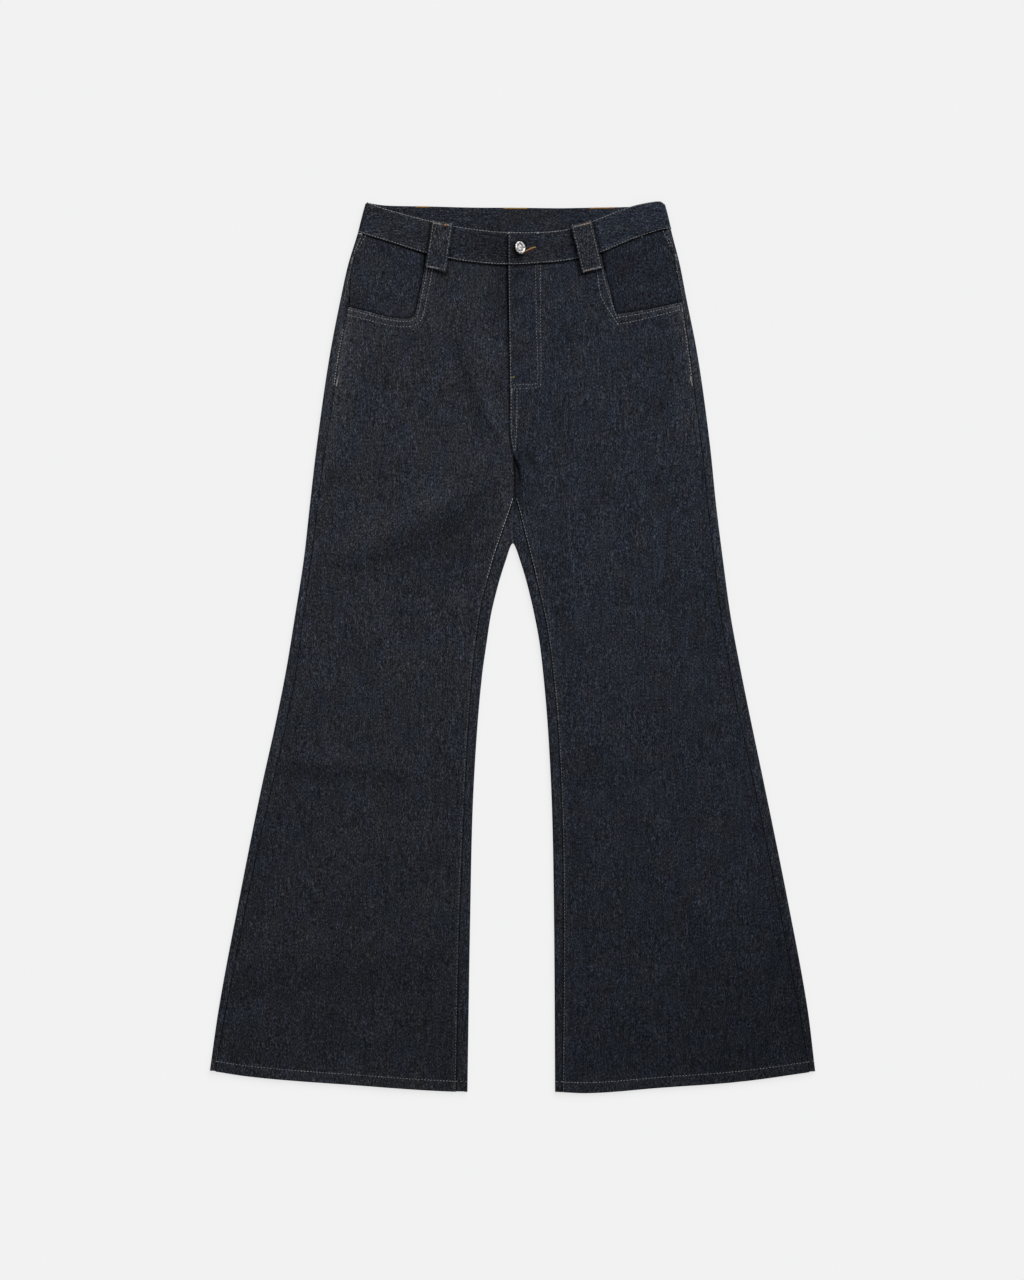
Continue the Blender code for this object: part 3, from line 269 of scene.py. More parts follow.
class SectionRow(NamedTuple):
    """How far down one section of a leg lies at its side, back inner edge and inseam."""

    side: float
    back: float
    front: float


LEG_SECTIONS = rows_of(
    SectionRow, (382.0, 410.4, 354.6), (414.0, 418.0, 373.0), (447.0, 443.0, 420.0),
    (491.0, 490.0, 482.0), (552.0, 552.0, 551.0), (660.0, 660.0, 660.0), (785.0, 791.0, 791.0),
    (917.0, 931.0, 931.0),
)


def spots(*pairs: Sequence[float]) -> tuple[Spot, ...]:
    """A line of places."""
    return rows_of(Spot, *pairs)


SIDE_TOPS = {
    Leg.RIGHT: (spots((-175.2, 41.4), (-184.8, 58.2)), spots((-180.0, 42.0), (-188.4, 60.0))),
    Leg.LEFT: (spots((181.2, 37.2), (191.2, 58.2)), spots((184.3, 38.8), (191.9, 54.6))),
}
SCOOPS = {
    Leg.RIGHT: (spots(
        (-101.0, 50.0), (-105.0, 79.8), (-108.4, 99.0), (-112.8, 120.6), (-115.6, 133.4), (-118.2, 138.6),
        (-123.0, 140.8), (-134.0, 141.0), (-154.8, 137.6), (-178.0, 131.6), (-196.0, 127.2), (-215.0, 122.0),
    ),),
    Leg.LEFT: (
        spots((104.0, 50.0), (110.0, 79.8), (113.8, 94.2), (119.2, 115.8), (124.2, 136.2)),
        spots((124.2, 136.2), (160.0, 130.6), (202.8, 121.8), (220.0, 118.0)),
    ),
}
LEFT_POCKET_STITCHES = (
    spots((100.4, 72.0), (102.0, 85.8), (107.3, 115.8), (111.6, 124.2), (126.6, 147.8)),
    spots((126.6, 147.8), (153.6, 142.8), (203.8, 130.2)),
    spots((107.6, 80.0), (114.0, 106.2), (118.6, 120.2), (125.6, 140.2)),
    spots((125.6, 140.2), (153.6, 135.6), (202.8, 125.4)),
)
FLY_STITCHES = (
    spots((28.2, 78.5), (29.2, 150.0), (30.6, 214.0), (30.2, 217.6), (28.0, 219.6), (12.0, 220.2),
          (-1.6, 221.2)),
    spots((34.2, 78.5), (34.3, 150.0), (34.7, 214.0), (34.2, 220.6), (31.0, 223.4), (14.0, 224.8),
          (-1.2, 226.2)),
)
BELOW_FLY_STITCHES = (
    spots((-1.2, 229.0), (-1.2, 262.0), (-0.6, 282.0), (2.4, 298.0)),
    spots((6.0, 229.0), (5.6, 262.0), (4.8, 282.0), (3.4, 298.0)),
)
FACING_MARGIN = 16.0
CROTCH_SLIT = spots((2.0, 304.0), (4.8, 312.6), (8.0, 322.2), (10.0, 331.8), (10.4, 342.0))
BUTTON = Spot(9.5, 57.4)
KEYHOLE_UPPER = spots((14.0, 61.0), (17.3, 60.0), (20.4, 58.6), (23.6, 57.3), (26.4, 56.2), (28.4, 56.4))
KEYHOLE_LOWER = spots((14.4, 64.4), (18.8, 62.6), (23.4, 60.8), (27.2, 59.0), (29.0, 57.4))
FRONT_LOOPS = {
    Leg.RIGHT: spots((-83.0, 26.2), (-91.4, 82.6)),
    Leg.LEFT: spots((82.6, 27.0), (96.4, 84.0)),
}
LOOP_SKEWS = {Leg.RIGHT: 0.18, Leg.LEFT: 0.02}
LOOP_EDGES = {
    Leg.RIGHT: (
        spots((-97.0, 22.0), (-105.0, 80.0)), spots((-69.6, 29.0), (-78.6, 86.0)),
        spots((-102.6, 80.4), (-80.0, 87.6))),
    Leg.LEFT: (
        spots((69.4, 31.0), (82.6, 86.6)), spots((96.4, 24.0), (110.0, 80.0)),
        spots((84.0, 87.6), (110.0, 81.0))),
}


def curve_of(table: Sequence[NamedTuple], places: str, values: str, **warp: Callable) -> Curve:
    """The curve of one column of a table over another."""
    return Curve([getattr(row, places) for row in table], [getattr(row, values) for row in table], **warp)


def by_leg(table: Sequence[EdgeRow], **warp: Callable) -> dict[Leg, Curve]:
    """One curve for each leg."""
    return {leg: curve_of(table, "down", leg.word, **warp) for leg in Leg}


def from_apex(down: Array) -> Array:
    """Distance below the top of the gap between the legs, drawn out so that it is round."""
    return np.sqrt(np.maximum(down - APEX_DOWN, 0.0))


def smooth(part: Any) -> Array:
    """A soft step from 0 to 1."""
    part = np.clip(part, 0.0, 1.0)
    return part * part * (3.0 - 2.0 * part)


def between(start: Any, end: Any, part: Any) -> Any:
    """The value a given part of the way from start to end."""
    return start + (end - start) * part


def fade(distance: Any, reach: float) -> Any:
    """How something that is 1 at a line dies away with the distance from it."""
    return np.exp(-distance / reach)


def bell(distance: Any, reach: float) -> Any:
    """The same, rounded at the line and gone sooner."""
    return np.exp(-((distance / reach) ** 2))


def spread(count: int, crowding: float) -> Array:
    """Places from 0 to 1 that lie closer together at both ends.

    Args:
        count: the number of steps.
        crowding: the first step, as a part of the mean one.
    """
    even = np.linspace(0.0, 1.0, count + 1)
    return even - (1.0 - crowding) * np.sin(2.0 * np.pi * even) / (2.0 * np.pi)


SIDE_EDGE = by_leg(SIDE_EDGES)
OUTSEAM_INSET = by_leg(OUTSEAM_INSETS)
INNER_EDGE = by_leg(INNER_EDGES, warp=from_apex)
INSEAM = by_leg(INSEAMS)
CENTRE_FRONT = curve_of(CENTRE_FRONTS, "down", "across")
HEM = curve_of(HEMS, "across", "down")
FRONT_BAND_SEAM = curve_of(FRONT_BAND, "seam_across", "seam_down")
BACK_BAND_SEAM = curve_of(BACK_BAND, "seam_across", "seam_down")
# The radius of the legs' folded edges, by how far down they are.
EDGE_RADIUS = Curve((0.0, 50.0, 84.0, 130.0, 250.0, 500.0, 1070.0), (3.8, 3.8, 3.6, 3.4, 3.0, 2.7, 2.8))


def outseam(leg: Leg, down: Any) -> Array:
    """The outseam's place across, on the front."""
    return SIDE_EDGE[leg](down) - leg.sign * OUTSEAM_INSET[leg](down)


def under_band(across: Any) -> Array:
    """The top edge of what is sewn to the front of the waistband."""
    return FRONT_BAND_SEAM(across) + BAND_GAP


def under_back_band(across: Any) -> Array:
    """The top edge of what is sewn to the back of the waistband."""
    return BACK_BAND_SEAM(across) + BAND_GAP


def front_inner(leg: Leg, down: Any) -> Array:
    """The inner edge of a front: the centre front, then the inseam."""
    down = np.asarray(down, float)
    centre = CENTRE_FRONT(down)
    if leg is Leg.RIGHT:
        step = smooth((down - FLY_END + 18.0) / 18.0)
        centre = np.where(down < FLY_END, between(UNDERLAP_EDGE, centre, step), centre)
    return np.where(down < CROTCH_DOWN, centre, INSEAM[leg](down))


def yoke_seam(across: Any) -> Array:
    """The seam under the back yoke, a shallow V."""
    reach = np.minimum(np.abs(np.asarray(across, float) - CENTRE_BACK) / 196.0, 1.0)
    return between(118.0, 84.0, reach)


def lengths_along(points: Array) -> Array:
    """How far along a line each of its points lies."""
    return np.concatenate(([0.0], np.cumsum(np.hypot(*np.diff(points, axis=0).T))))


def smooth_path(points: Sequence[Spot], step: float) -> Array:
    """A smooth line through a few places.

    Args:
        points: the places that it goes through.
        step: the distance between the points that are returned.

    Returns:
        An array of across and down.
    """
    knots = np.asarray(points, float)
    along = lengths_along(knots)
    straight = len(knots) == 2
    places = np.linspace(0.0, along[-1], max(int(along[-1] / step), 1 if straight else 2) + 1)
    if straight:
        return np.stack([np.interp(places, along, line) for line in knots.T], axis=1)
    return np.stack([Curve(along, line)(places) for line in knots.T], axis=1)


def scoop_line(leg: Leg, step: float) -> Array:
    """The edge of a pocket scoop; on the left its two parts meet in a sharp corner."""
    parts = [smooth_path(part, step) for part in SCOOPS[leg]]
    return np.concatenate([parts[0], *(part[1:] for part in parts[1:])])


def offset_path(path: Array, distance: float) -> Array:
    """A line beside another, to the left of its direction seen from above."""
    along = np.gradient(path, axis=0)
    along /= np.maximum(np.hypot(along[:, 0], along[:, 1]), 1e-9)[:, None]
    return path + distance * np.stack([along[:, 1], -along[:, 0]], axis=1)


def line_of(across: Array, down: Array) -> Array:
    """The points of a line, from its places across and down."""
    return np.stack([across, down], 1)


def distance_to(path: Array, across: Array, down: Array) -> Array:
    """Distance of each point from a line."""
    nearest = np.full(across.shape, 1e9)
    for start, end in zip(path[:-1], path[1:]):
        run = end - start
        t = ((across - start[0]) * run[0] + (down - start[1]) * run[1]) / max(run @ run, 1e-9)
        t = np.clip(t, 0.0, 1.0)
        gone = np.hypot(across - start[0] - t * run[0], down - start[1] - t * run[1])
        nearest = np.minimum(nearest, gone)
    return nearest


def inside(outline: Array, across: Array, down: Array) -> Array:
    """Whether each point lies inside a closed outline."""
    odd = np.zeros(across.shape, bool)
    for start, end in zip(outline, np.roll(outline, -1, axis=0)):
        crosses = (start[1] > down) != (end[1] > down)
        rise = end[1] - start[1]
        reach = start[0] + (down - start[1]) * (end[0] - start[0]) / (rise if rise else 1e-9)
        odd ^= crosses & (across < reach)
    return odd


def place(across: Any, down: Any, height: Any) -> Array:
    """Points in the frame's metres."""
    across, down, height = np.broadcast_arrays(across, down, height)
    return np.stack([(across - ORIGIN_ACROSS) * MM, (ORIGIN_DOWN - down) * MM, height * MM], axis=-1)


# ---- creases
@dataclass(frozen=True)
class Crease:
    """A soft ridge in the cloth, or a trough where its height is negative."""

    across: float
    down: float
    turn: float
    length: float
    width: float
    height: float

    def relief(self, across: Array, down: Array) -> Array:
        """Its height at some places; it bends a little and thins out towards its ends."""
        turn = math.radians(self.turn)
        dx = across - self.across
        dd = self.down - down
        along = (dx * math.cos(turn) + dd * math.sin(turn)) / self.length
        aside = dd * math.cos(turn) - dx * math.sin(turn) + 0.05 * self.length * along**2
        width = self.width * (1.0 - 0.25 * np.tanh(along))
        return self.height * np.exp(-(along**2) - (aside / width) ** 2)


FRONT_CREASES = rows_of(
    Crease, (-92.0, 360.0, 14.0, 46.0, 15.0, 4.1), (-168.0, 402.0, 24.0, 60.0, 16.0, 3.5),
    (-46.0, 318.0, 46.0, 26.0, 12.0, 2.6), (-122.0, 415.0, 10.0, 34.0, 23.0, -3.2),
    (-122.0, 458.0, 8.0, 40.0, 36.0, -1.5), (-78.0, 389.0, 8.0, 30.0, 14.0, -3.7),
    (-64.0, 420.0, 8.0, 44.0, 30.0, -2.4), (-44.0, 364.0, 44.0, 26.0, 15.0, -4.4),
    (-172.0, 437.0, 22.0, 42.0, 14.0, -1.9), (-220.0, 438.0, 12.0, 34.0, 14.0, -2.2),
    (-50.0, 144.0, 104.0, 40.0, 8.0, 1.0), (-27.0, 255.0, 116.0, 48.0, 9.0, 3.8),
    (-60.0, 206.0, 105.0, 60.0, 8.0, -2.6), (-46.0, 268.0, 112.0, 26.0, 8.0, -1.6),
    (-20.0, 112.0, 85.0, 36.0, 12.0, -2.0), (-100.0, 262.0, 70.0, 34.0, 12.0, -1.08),
    (-140.0, 300.0, 30.0, 44.0, 15.0, 1.22), (-150.0, 332.0, 4.0, 60.0, 11.0, -0.94),
    (-196.0, 228.0, 82.0, 60.0, 12.0, 1.62), (-182.0, 176.0, 70.0, 26.0, 9.0, 1.08),
    (171.0, 250.0, 60.0, 17.0, 10.0, -2.16), (176.0, 151.0, 10.0, 13.0, 6.0, -1.76),
    (190.0, 290.0, 74.0, 34.0, 12.0, 1.76), (196.0, 196.0, 120.0, 22.0, 9.0, 1.35),
    (150.0, 202.0, 40.0, 24.0, 9.0, -0.94), (56.0, 174.0, 62.0, 30.0, 9.0, -1.35),
    (84.0, 200.0, 84.0, 60.0, 12.0, 1.08), (66.0, 250.0, 76.0, 40.0, 11.0, -0.81),
    (132.0, 352.0, 12.0, 46.0, 9.0, -1.08), (132.0, 328.0, 8.0, 50.0, 12.0, 0.94),
    (66.0, 322.0, 60.0, 44.0, 12.0, 1.22), (110.0, 420.0, 78.0, 60.0, 15.0, 0.94),
    (206.0, 474.0, 16.0, 46.0, 14.0, -1.35), (146.0, 560.0, 6.0, 66.0, 16.0, 1.08),
    (-250.0, 668.0, -6.0, 60.0, 10.0, 2.0), (-264.0, 688.0, -6.0, 50.0, 9.0, -2.3),
    (-168.0, 675.0, -6.0, 62.0, 11.0, 2.2), (-168.0, 694.0, -6.0, 58.0, 11.0, -1.8),
    (-200.0, 520.0, 14.0, 60.0, 18.0, 1.22), (-100.0, 566.0, -8.0, 58.0, 15.0, 1.08),
    (-250.0, 590.0, 30.0, 40.0, 13.0, 0.94), (246.0, 664.0, -16.0, 50.0, 14.0, 1.08),
    (120.0, 690.0, 4.0, 60.0, 14.0, -0.81), (-144.0, 766.0, 14.0, 84.0, 17.0, 1.35),
    (-244.0, 826.0, 60.0, 80.0, 18.0, 1.49), (-112.0, 866.0, 96.0, 86.0, 15.0, 1.08),
    (-206.0, 898.0, 2.0, 118.0, 22.0, 2.0), (-206.0, 936.0, 2.0, 118.0, 24.0, -1.8),
    (-300.0, 984.0, 74.0, 50.0, 10.0, 1.08), (-160.0, 1010.0, 82.0, 40.0, 11.0, 0.94),
    (110.0, 800.0, 84.0, 90.0, 15.0, 1.08), (214.0, 824.0, 118.0, 110.0, 20.0, 1.4),
    (160.0, 930.0, 30.0, 84.0, 18.0, 1.62), (292.0, 952.0, 104.0, 70.0, 13.0, 1.22),
    (236.0, 980.0, 14.0, 70.0, 14.0, 1.08), (98.0, 1010.0, 88.0, 38.0, 10.0, 0.94),
)
THIGH_LOFT = rows_of(Crease, (-120.0, 420.0, 10.0, 120.0, 70.0, 3.2))
SEAM_CREASES = rows_of(
    Crease, (6.4, 340.0, 93.0, 40.0, 3.4, -3.24), (22.0, 311.0, 105.0, 15.0, 5.0, -2.29),
    (14.0, 296.0, 96.0, 24.0, 4.0, 1.08), (36.0, 336.0, 74.0, 30.0, 7.0, 1.62),
    (12.0, 116.0, -15.0, 13.0, 9.0, 2.03), (16.0, 168.0, 12.0, 14.0, 8.0, 1.76),
    (10.0, 206.0, 0.0, 12.0, 7.0, 1.22), (12.0, 90.0, 20.0, 12.0, 6.0, -1.08),
    (30.0, 142.0, 80.0, 16.0, 4.0, 0.94),
)
BACK_CREASES = rows_of(
    Crease, (-96.0, 352.0, 40.0, 66.0, 12.0, 1.3), (-140.0, 330.0, 24.0, 60.0, 11.0, 0.9),
    (-34.0, 372.0, 62.0, 34.0, 8.0, 1.2), (104.0, 346.0, 142.0, 62.0, 12.0, 1.2),
    (158.0, 366.0, 160.0, 58.0, 12.0, 0.8), (38.0, 380.0, 120.0, 36.0, 8.0, 1.1),
    (-150.0, 560.0, 8.0, 90.0, 12.0, 1.0), (-176.0, 606.0, -10.0, 74.0, 10.0, 0.8),
    (150.0, 548.0, -6.0, 84.0, 12.0, 1.0), (196.0, 604.0, 14.0, 70.0, 10.0, 0.9),
    (-196.0, 760.0, 66.0, 110.0, 16.0, 1.0), (-120.0, 868.0, 94.0, 120.0, 14.0, 0.8),
    (-284.0, 930.0, 76.0, 84.0, 13.0, 0.9), (190.0, 770.0, 112.0, 108.0, 15.0, 1.0),
    (118.0, 880.0, 88.0, 110.0, 14.0, 0.8), (276.0, 930.0, 104.0, 90.0, 13.0, 0.9),
)
BAND_CREASES = rows_of(
    Crease, (-120.0, 36.0, 8.0, 34.0, 6.0, 0.9), (-60.0, 50.0, -12.0, 22.0, 7.0, 0.9),
    (-26.0, 56.0, 80.0, 18.0, 11.0, -1.5), (44.0, 54.0, 100.0, 18.0, 8.0, -0.9),
    (60.0, 50.0, 24.0, 22.0, 6.0, 0.8), (132.0, 36.0, 22.0, 36.0, 6.0, 1.1),
    (122.0, 50.0, 24.0, 26.0, 6.0, -0.9), (160.0, 22.0, 60.0, 18.0, 7.0, -0.9),
    (-158.0, 26.0, 110.0, 18.0, 7.0, -0.7),
)
FACING_CREASES = rows_of(
    Crease, (-140.0, 76.0, 10.0, 34.0, 9.0, 0.9), (-172.0, 106.0, 40.0, 26.0, 8.0, 1.0),
    (-186.0, 124.0, 60.0, 18.0, 8.0, -1.2), (-130.0, 118.0, 20.0, 22.0, 8.0, -0.7),
    (142.0, 62.0, 42.0, 28.0, 5.0, 1.6), (140.0, 74.0, 40.0, 34.0, 6.0, -1.4),
    (166.0, 92.0, 16.0, 24.0, 6.0, -1.6), (160.0, 108.0, 10.0, 30.0, 8.0, 1.3),
    (186.0, 84.0, 70.0, 24.0, 7.0, 0.9),
)


def ripple(across: Array, down: Array) -> Array:
    """The cloth's slight unevenness everywhere."""
    broad = np.sin(across / 19.0 + 2.0 * np.sin(down / 67.0))
    broad *= np.sin(down / 29.0 + 1.7 * np.sin(across / 47.0))
    fine = np.sin(across / 7.3 + 1.9 * np.sin(down / 31.0))
    fine *= np.sin(down / 10.7 + 1.4 * np.sin(across / 17.0))
    return 0.34 * broad + 0.07 * fine


def relief_of(creases: Sequence[Crease], across: Array, down: Array) -> Array:
    """The height of several creases together."""
    total = np.zeros(np.shape(across))
    for crease in creases:
        total += crease.relief(across, down)
    return total


# ---- the frame's solids
def tree_of(mesh: Mesh) -> BVHTree:
    """A mesh's faces, to find where lines meet them."""
    return BVHTree.FromPolygons(
        [vert.co[:] for vert in mesh.vertices], [face.vertices[:] for face in mesh.polygons])


class SolidForm:
    """The surface of one of the frame's solids, read along upright lines."""

    def __init__(self, node: Object) -> None:
        """Reads the mesh of one of the frame's objects."""
        self.tree = tree_of(node.data)

    def height_at(self, across: float, down: float, face: Face = Face.UP, layer: int = 0) -> float:
        """The height of one crossing, or nan where there is none."""
        x, y, _ = place(across, down, 0.0)
        way = Vector((0.0, 0.0, -float(face.value)))
        start = Vector((x, y, ABOVE_ALL * face.value))
        hit = None
        for _ in range(layer + 1):
            hit = self.tree.ray_cast(start, way)[0]
            if hit is None:
                return math.nan
            start = hit + way * 1e-5
        return hit.z / MM

    def heights(
        self, across: Array, down: Array, face: Face = Face.UP, layer: int = 0,
        low: float = -math.inf, high: float = math.inf,
    ) -> Array:
        """Heights over a whole net of points, carried on where the solid has none.

        Args:
            across: the net's places across.
            down: its places down.
            face: the side from which the solid is reached.
            layer: how many crossings are passed.
            low: the lowest height that belongs to the layer that is meant.
            high: the highest one.

        Returns:
            The heights in millimetres.
        """
        found = np.array([
            self.height_at(x, d, face, layer) for x, d in zip(across.ravel(), down.ravel())
        ]).reshape(across.shape)
        found[(found < low) | (found > high)] = math.nan
        return carry_on(found)


def carry_on(values: Array) -> Array:
    """Fills a net's missing values from the nearest ones, along rows and then along columns."""
    filled = values.copy()
    for grid in (filled, filled.T):
        for line in grid:
            known = ~np.isnan(line)
            if known.any() and not known.all():
                places = np.arange(len(line))
                line[~known] = np.interp(places[~known], places[known], line[known])
    return filled


def soften(values: Array, rows: float, columns: float) -> Array:
    """Smooths a net of values, keeping its slope at the edges.

    Args:
        values: the net.
        rows: how far it is smoothed along its columns, in points.
        columns: how far along its rows.
    """
    for axis, reach in ((0, rows), (1, columns)):
        if reach <= 0.0:
            continue
        span = min(int(3.0 * reach), values.shape[axis] - 1)
        weights = np.exp(-0.5 * (np.arange(-span, span + 1) / reach) ** 2)
        weights /= weights.sum()
        margin = [(0, 0), (0, 0)]
        margin[axis] = (span, span)
        padded = np.pad(values, margin, mode="reflect", reflect_type="odd")
        values = np.apply_along_axis(lambda line: np.convolve(line, weights, "valid"), axis, padded)
    return values


# ---- nets of cloth
@dataclass
class Net:
    """A net of points on a piece's right side, row by row."""

    across: Array
    down: Array
    height: Array
    wear: Array | None = None
    shade: Array | None = None
    keep: Array | None = None

    def __post_init__(self) -> None:
        """Fills in the plain values."""
        grids = np.broadcast_arrays(self.across, self.down, self.height)
        self.across, self.down, self.height = (np.array(grid, float) for grid in grids)
        shape = self.across.shape
        self.wear = np.zeros(shape) if self.wear is None else self.wear
        self.shade = np.zeros(shape) if self.shade is None else self.shade
        self.keep = np.ones((shape[0] - 1, shape[1] - 1), bool) if self.keep is None else self.keep

    @classmethod
    def side_by_side(cls, *parts: Sequence[Array]) -> Net:
        """One net of several parts beside each other, each its across, down and height."""
        return cls(*(np.concatenate(grids, axis=1) for grids in zip(*parts)))

    def mirrored(self) -> Net:
        """The same net with its columns the other way round, which turns its faces over."""
        grids = (self.across, self.down, self.height, self.wear, self.shade, self.keep)
        return Net(*(grid[:, ::-1] for grid in grids))

    def points(self) -> Array:
        """Its points in metres."""
        return place(self.across, self.down, self.height)

    def normals(self) -> Array:
        """The directions across its surface."""
        points = self.points()
        normal = np.cross(np.gradient(points, axis=0), np.gradient(points, axis=1))
        return normal / np.maximum(np.linalg.norm(normal, axis=-1, keepdims=True), 1e-12)

    def quads(self) -> Array:
        """Each cell's four corners, as numbers of points."""
        number = np.arange(self.across.size).reshape(self.across.shape)
        corners = (number[:-1, :-1], number[1:, :-1], number[1:, 1:], number[:-1, 1:])
        return np.stack(corners, axis=-1)[self.keep]

    def measure(self) -> tuple[float, float, float]:
        """Its greatest width and length, and its area, in metres and square metres."""
        points = self.points()
        width = np.linalg.norm(np.diff(points, axis=1), axis=-1).sum(axis=1).max()
        length = np.linalg.norm(np.diff(points, axis=0), axis=-1).sum(axis=0).max()
        corner = points.reshape(-1, 3)[self.quads()]
        one = np.cross(corner[:, 1] - corner[:, 0], corner[:, 2] - corner[:, 0])
        two = np.cross(corner[:, 2] - corner[:, 0], corner[:, 3] - corner[:, 0])
        area = 0.5 * (np.linalg.norm(one, axis=1).sum() + np.linalg.norm(two, axis=1).sum())
        return float(width), float(length), float(area)

    def trim(self, path: Array, outline: Array) -> None:
        """Cuts away the cells inside an outline, along a path.

        Args:
            path: the line of the cut.
            outline: a closed outline that the path is a part of.
        """
        gone = inside(outline, self.across, self.down)
        cut = gone[:-1, :-1] & gone[1:, :-1] & gone[1:, 1:] & gone[:-1, 1:]
        self.keep &= ~cut
        used = np.zeros(self.across.shape, bool)
        for rows in (slice(None, -1), slice(1, None)):
            for columns in (slice(None, -1), slice(1, None)):
                used[rows, columns] |= self.keep
        for i, j in np.argwhere(gone & used):
            spot = np.array([self.across[i, j], self.down[i, j]])
            self.across[i, j], self.down[i, j] = nearest_on(path, spot)


def nearest_on(path: Array, spot: Array) -> Array:
    """The point of a line that is nearest to a place."""
    start, run = path[:-1], np.diff(path, axis=0)
    t = ((spot - start) * run).sum(axis=1) / np.maximum((run * run).sum(axis=1), 1e-9)
    feet = start + np.clip(t, 0.0, 1.0)[:, None] * run
    return feet[np.argmin(((feet - spot) ** 2).sum(axis=1))]


@dataclass(frozen=True)
class PanelShape:
    """A panel between two edges and two lines, as a maker draws it."""

    outer: Callable[[Any], Array]
    inner: Callable[[Any], Array]
    upper: Callable[[Any], Array]
    lower: Callable[[Any], Array]

    @staticmethod
    def corner(edge: Callable, line: Callable) -> Spot:
        """Where an edge meets a line."""
        across = edge(line(0.0))
        for _ in range(12):
            across = edge(line(across))
        return Spot(float(across), float(line(across)))

    def net(self, rows: Array, columns: Array) -> tuple[Array, Array]:
        """Points that fill the panel.

        Args:
            rows: places from the upper to the lower line.
            columns: places from the outer to the inner edge.

        Returns:
            Their places across and down.
        """
        outer_top, outer_end = self.corner(self.outer, self.upper), self.corner(self.outer, self.lower)
        inner_top, inner_end = self.corner(self.inner, self.upper), self.corner(self.inner, self.lower)
        t, s = rows[:, None], columns[None, :]
        outer_down = between(outer_top.down, outer_end.down, t)
        inner_down = between(inner_top.down, inner_end.down, t)
        across = between(self.outer(outer_down), self.inner(inner_down), s)
        top = self.upper(between(outer_top.across, inner_top.across, s))
        end = self.lower(between(outer_end.across, inner_end.across, s))
        bow_top = top - between(outer_top.down, inner_top.down, s)
        bow_end = end - between(outer_end.down, inner_end.down, s)
        down = between(outer_down, inner_down, s) + bow_top * (1.0 - t) ** 4 + bow_end * t**4
        return across, down


def turned_edge(distance: Array, drop: float = 0.5, reach: float = 0.9) -> Array:
    """The relief of an edge that is rounded off: how far it drops at a distance from it."""
    return -drop * np.clip(1.0 - distance / reach, 0.0, 1.0) ** 2


def doubled(distance: Array, width: float, height: float) -> Array:
    """The relief of cloth that is turned under along an edge."""
    return height * smooth((width + 0.8 - distance) / 1.6)


def hem_wear(hem: Array) -> Array:
    """The wear of a hem, by the distance from its fold."""
    return 0.75 * doubled(hem, HEM_DEPTH + 1.0, 0.5) + 0.8 * fade(hem, 1.2)


def shade_loops(net: Net, edges: Sequence[Sequence[Spot]], depth: float, where: Any = 1.0) -> None:
    """Darkens the cloth beside the belt loops' edges."""
    for edge in edges:
        net.shade += depth * bell(distance_to(np.array(edge), net.across, net.down), 2.4) * where


def patch(net: Net, middle: Spot, reach: Spot) -> Array:
    """A soft oval patch on a net, 1 at its middle."""
    across, down = net.across - middle.across, net.down - middle.down
    return bell(np.hypot(across / reach.across, down / reach.down), 1.0)


def roll_round(edge: Array, radius: Array, sign: float, steps: int) -> tuple[Array, Array]:
    """The cloth's turn round a leg's side, down from the front: its places across and heights."""
    angle = np.linspace(np.pi, 0.0, steps + 1)[None, 1:-1]
    return edge - sign * radius * (1.0 - np.sin(angle)), radius * (1.0 - np.cos(angle))


# ---- shader and geometry nodes
class NodeBook:
    """A node tree that is written node by node."""

    def __init__(self, tree: NodeTree) -> None:
        """Starts on an empty tree."""
        self.tree = tree
        tree.nodes.clear()

    def add(self, kind: str, settings: dict[str, Any] | None = None, **sockets: Any) -> Node:
        """Adds a node.

        Args:
            kind: the node's type.
            settings: its own properties, which are set first.
            sockets: values or links of its inputs, by identifier or name, with _ for a space.

        Returns:
            The node.
        """
        node = self.tree.nodes.new(kind)
        for name, value in (settings or {}).items():
            setattr(node, name, value)
        for name, value in sockets.items():
            socket = self.find(node, name)
            value = value.socket if isinstance(value, Value) else value
            if isinstance(value, NodeSocket):
                self.tree.links.new(value, socket)
            else:
                socket.default_value = value
        return node

    @staticmethod
    def find(node: Node, name: str) -> NodeSocket:
        """The input with that identifier or name."""
        for socket in node.inputs:
            if name in (socket.identifier, socket.identifier.replace(" ", "_")):
                return socket
        return node.inputs[name.replace("_", " ")]

    def value(self, node: Node, name: str = "") -> Value:
        """One of a node's outputs, the first by default."""
        outputs = {socket.identifier: socket for socket in node.outputs}
        return Value(self, outputs[name] if name else node.outputs[0])


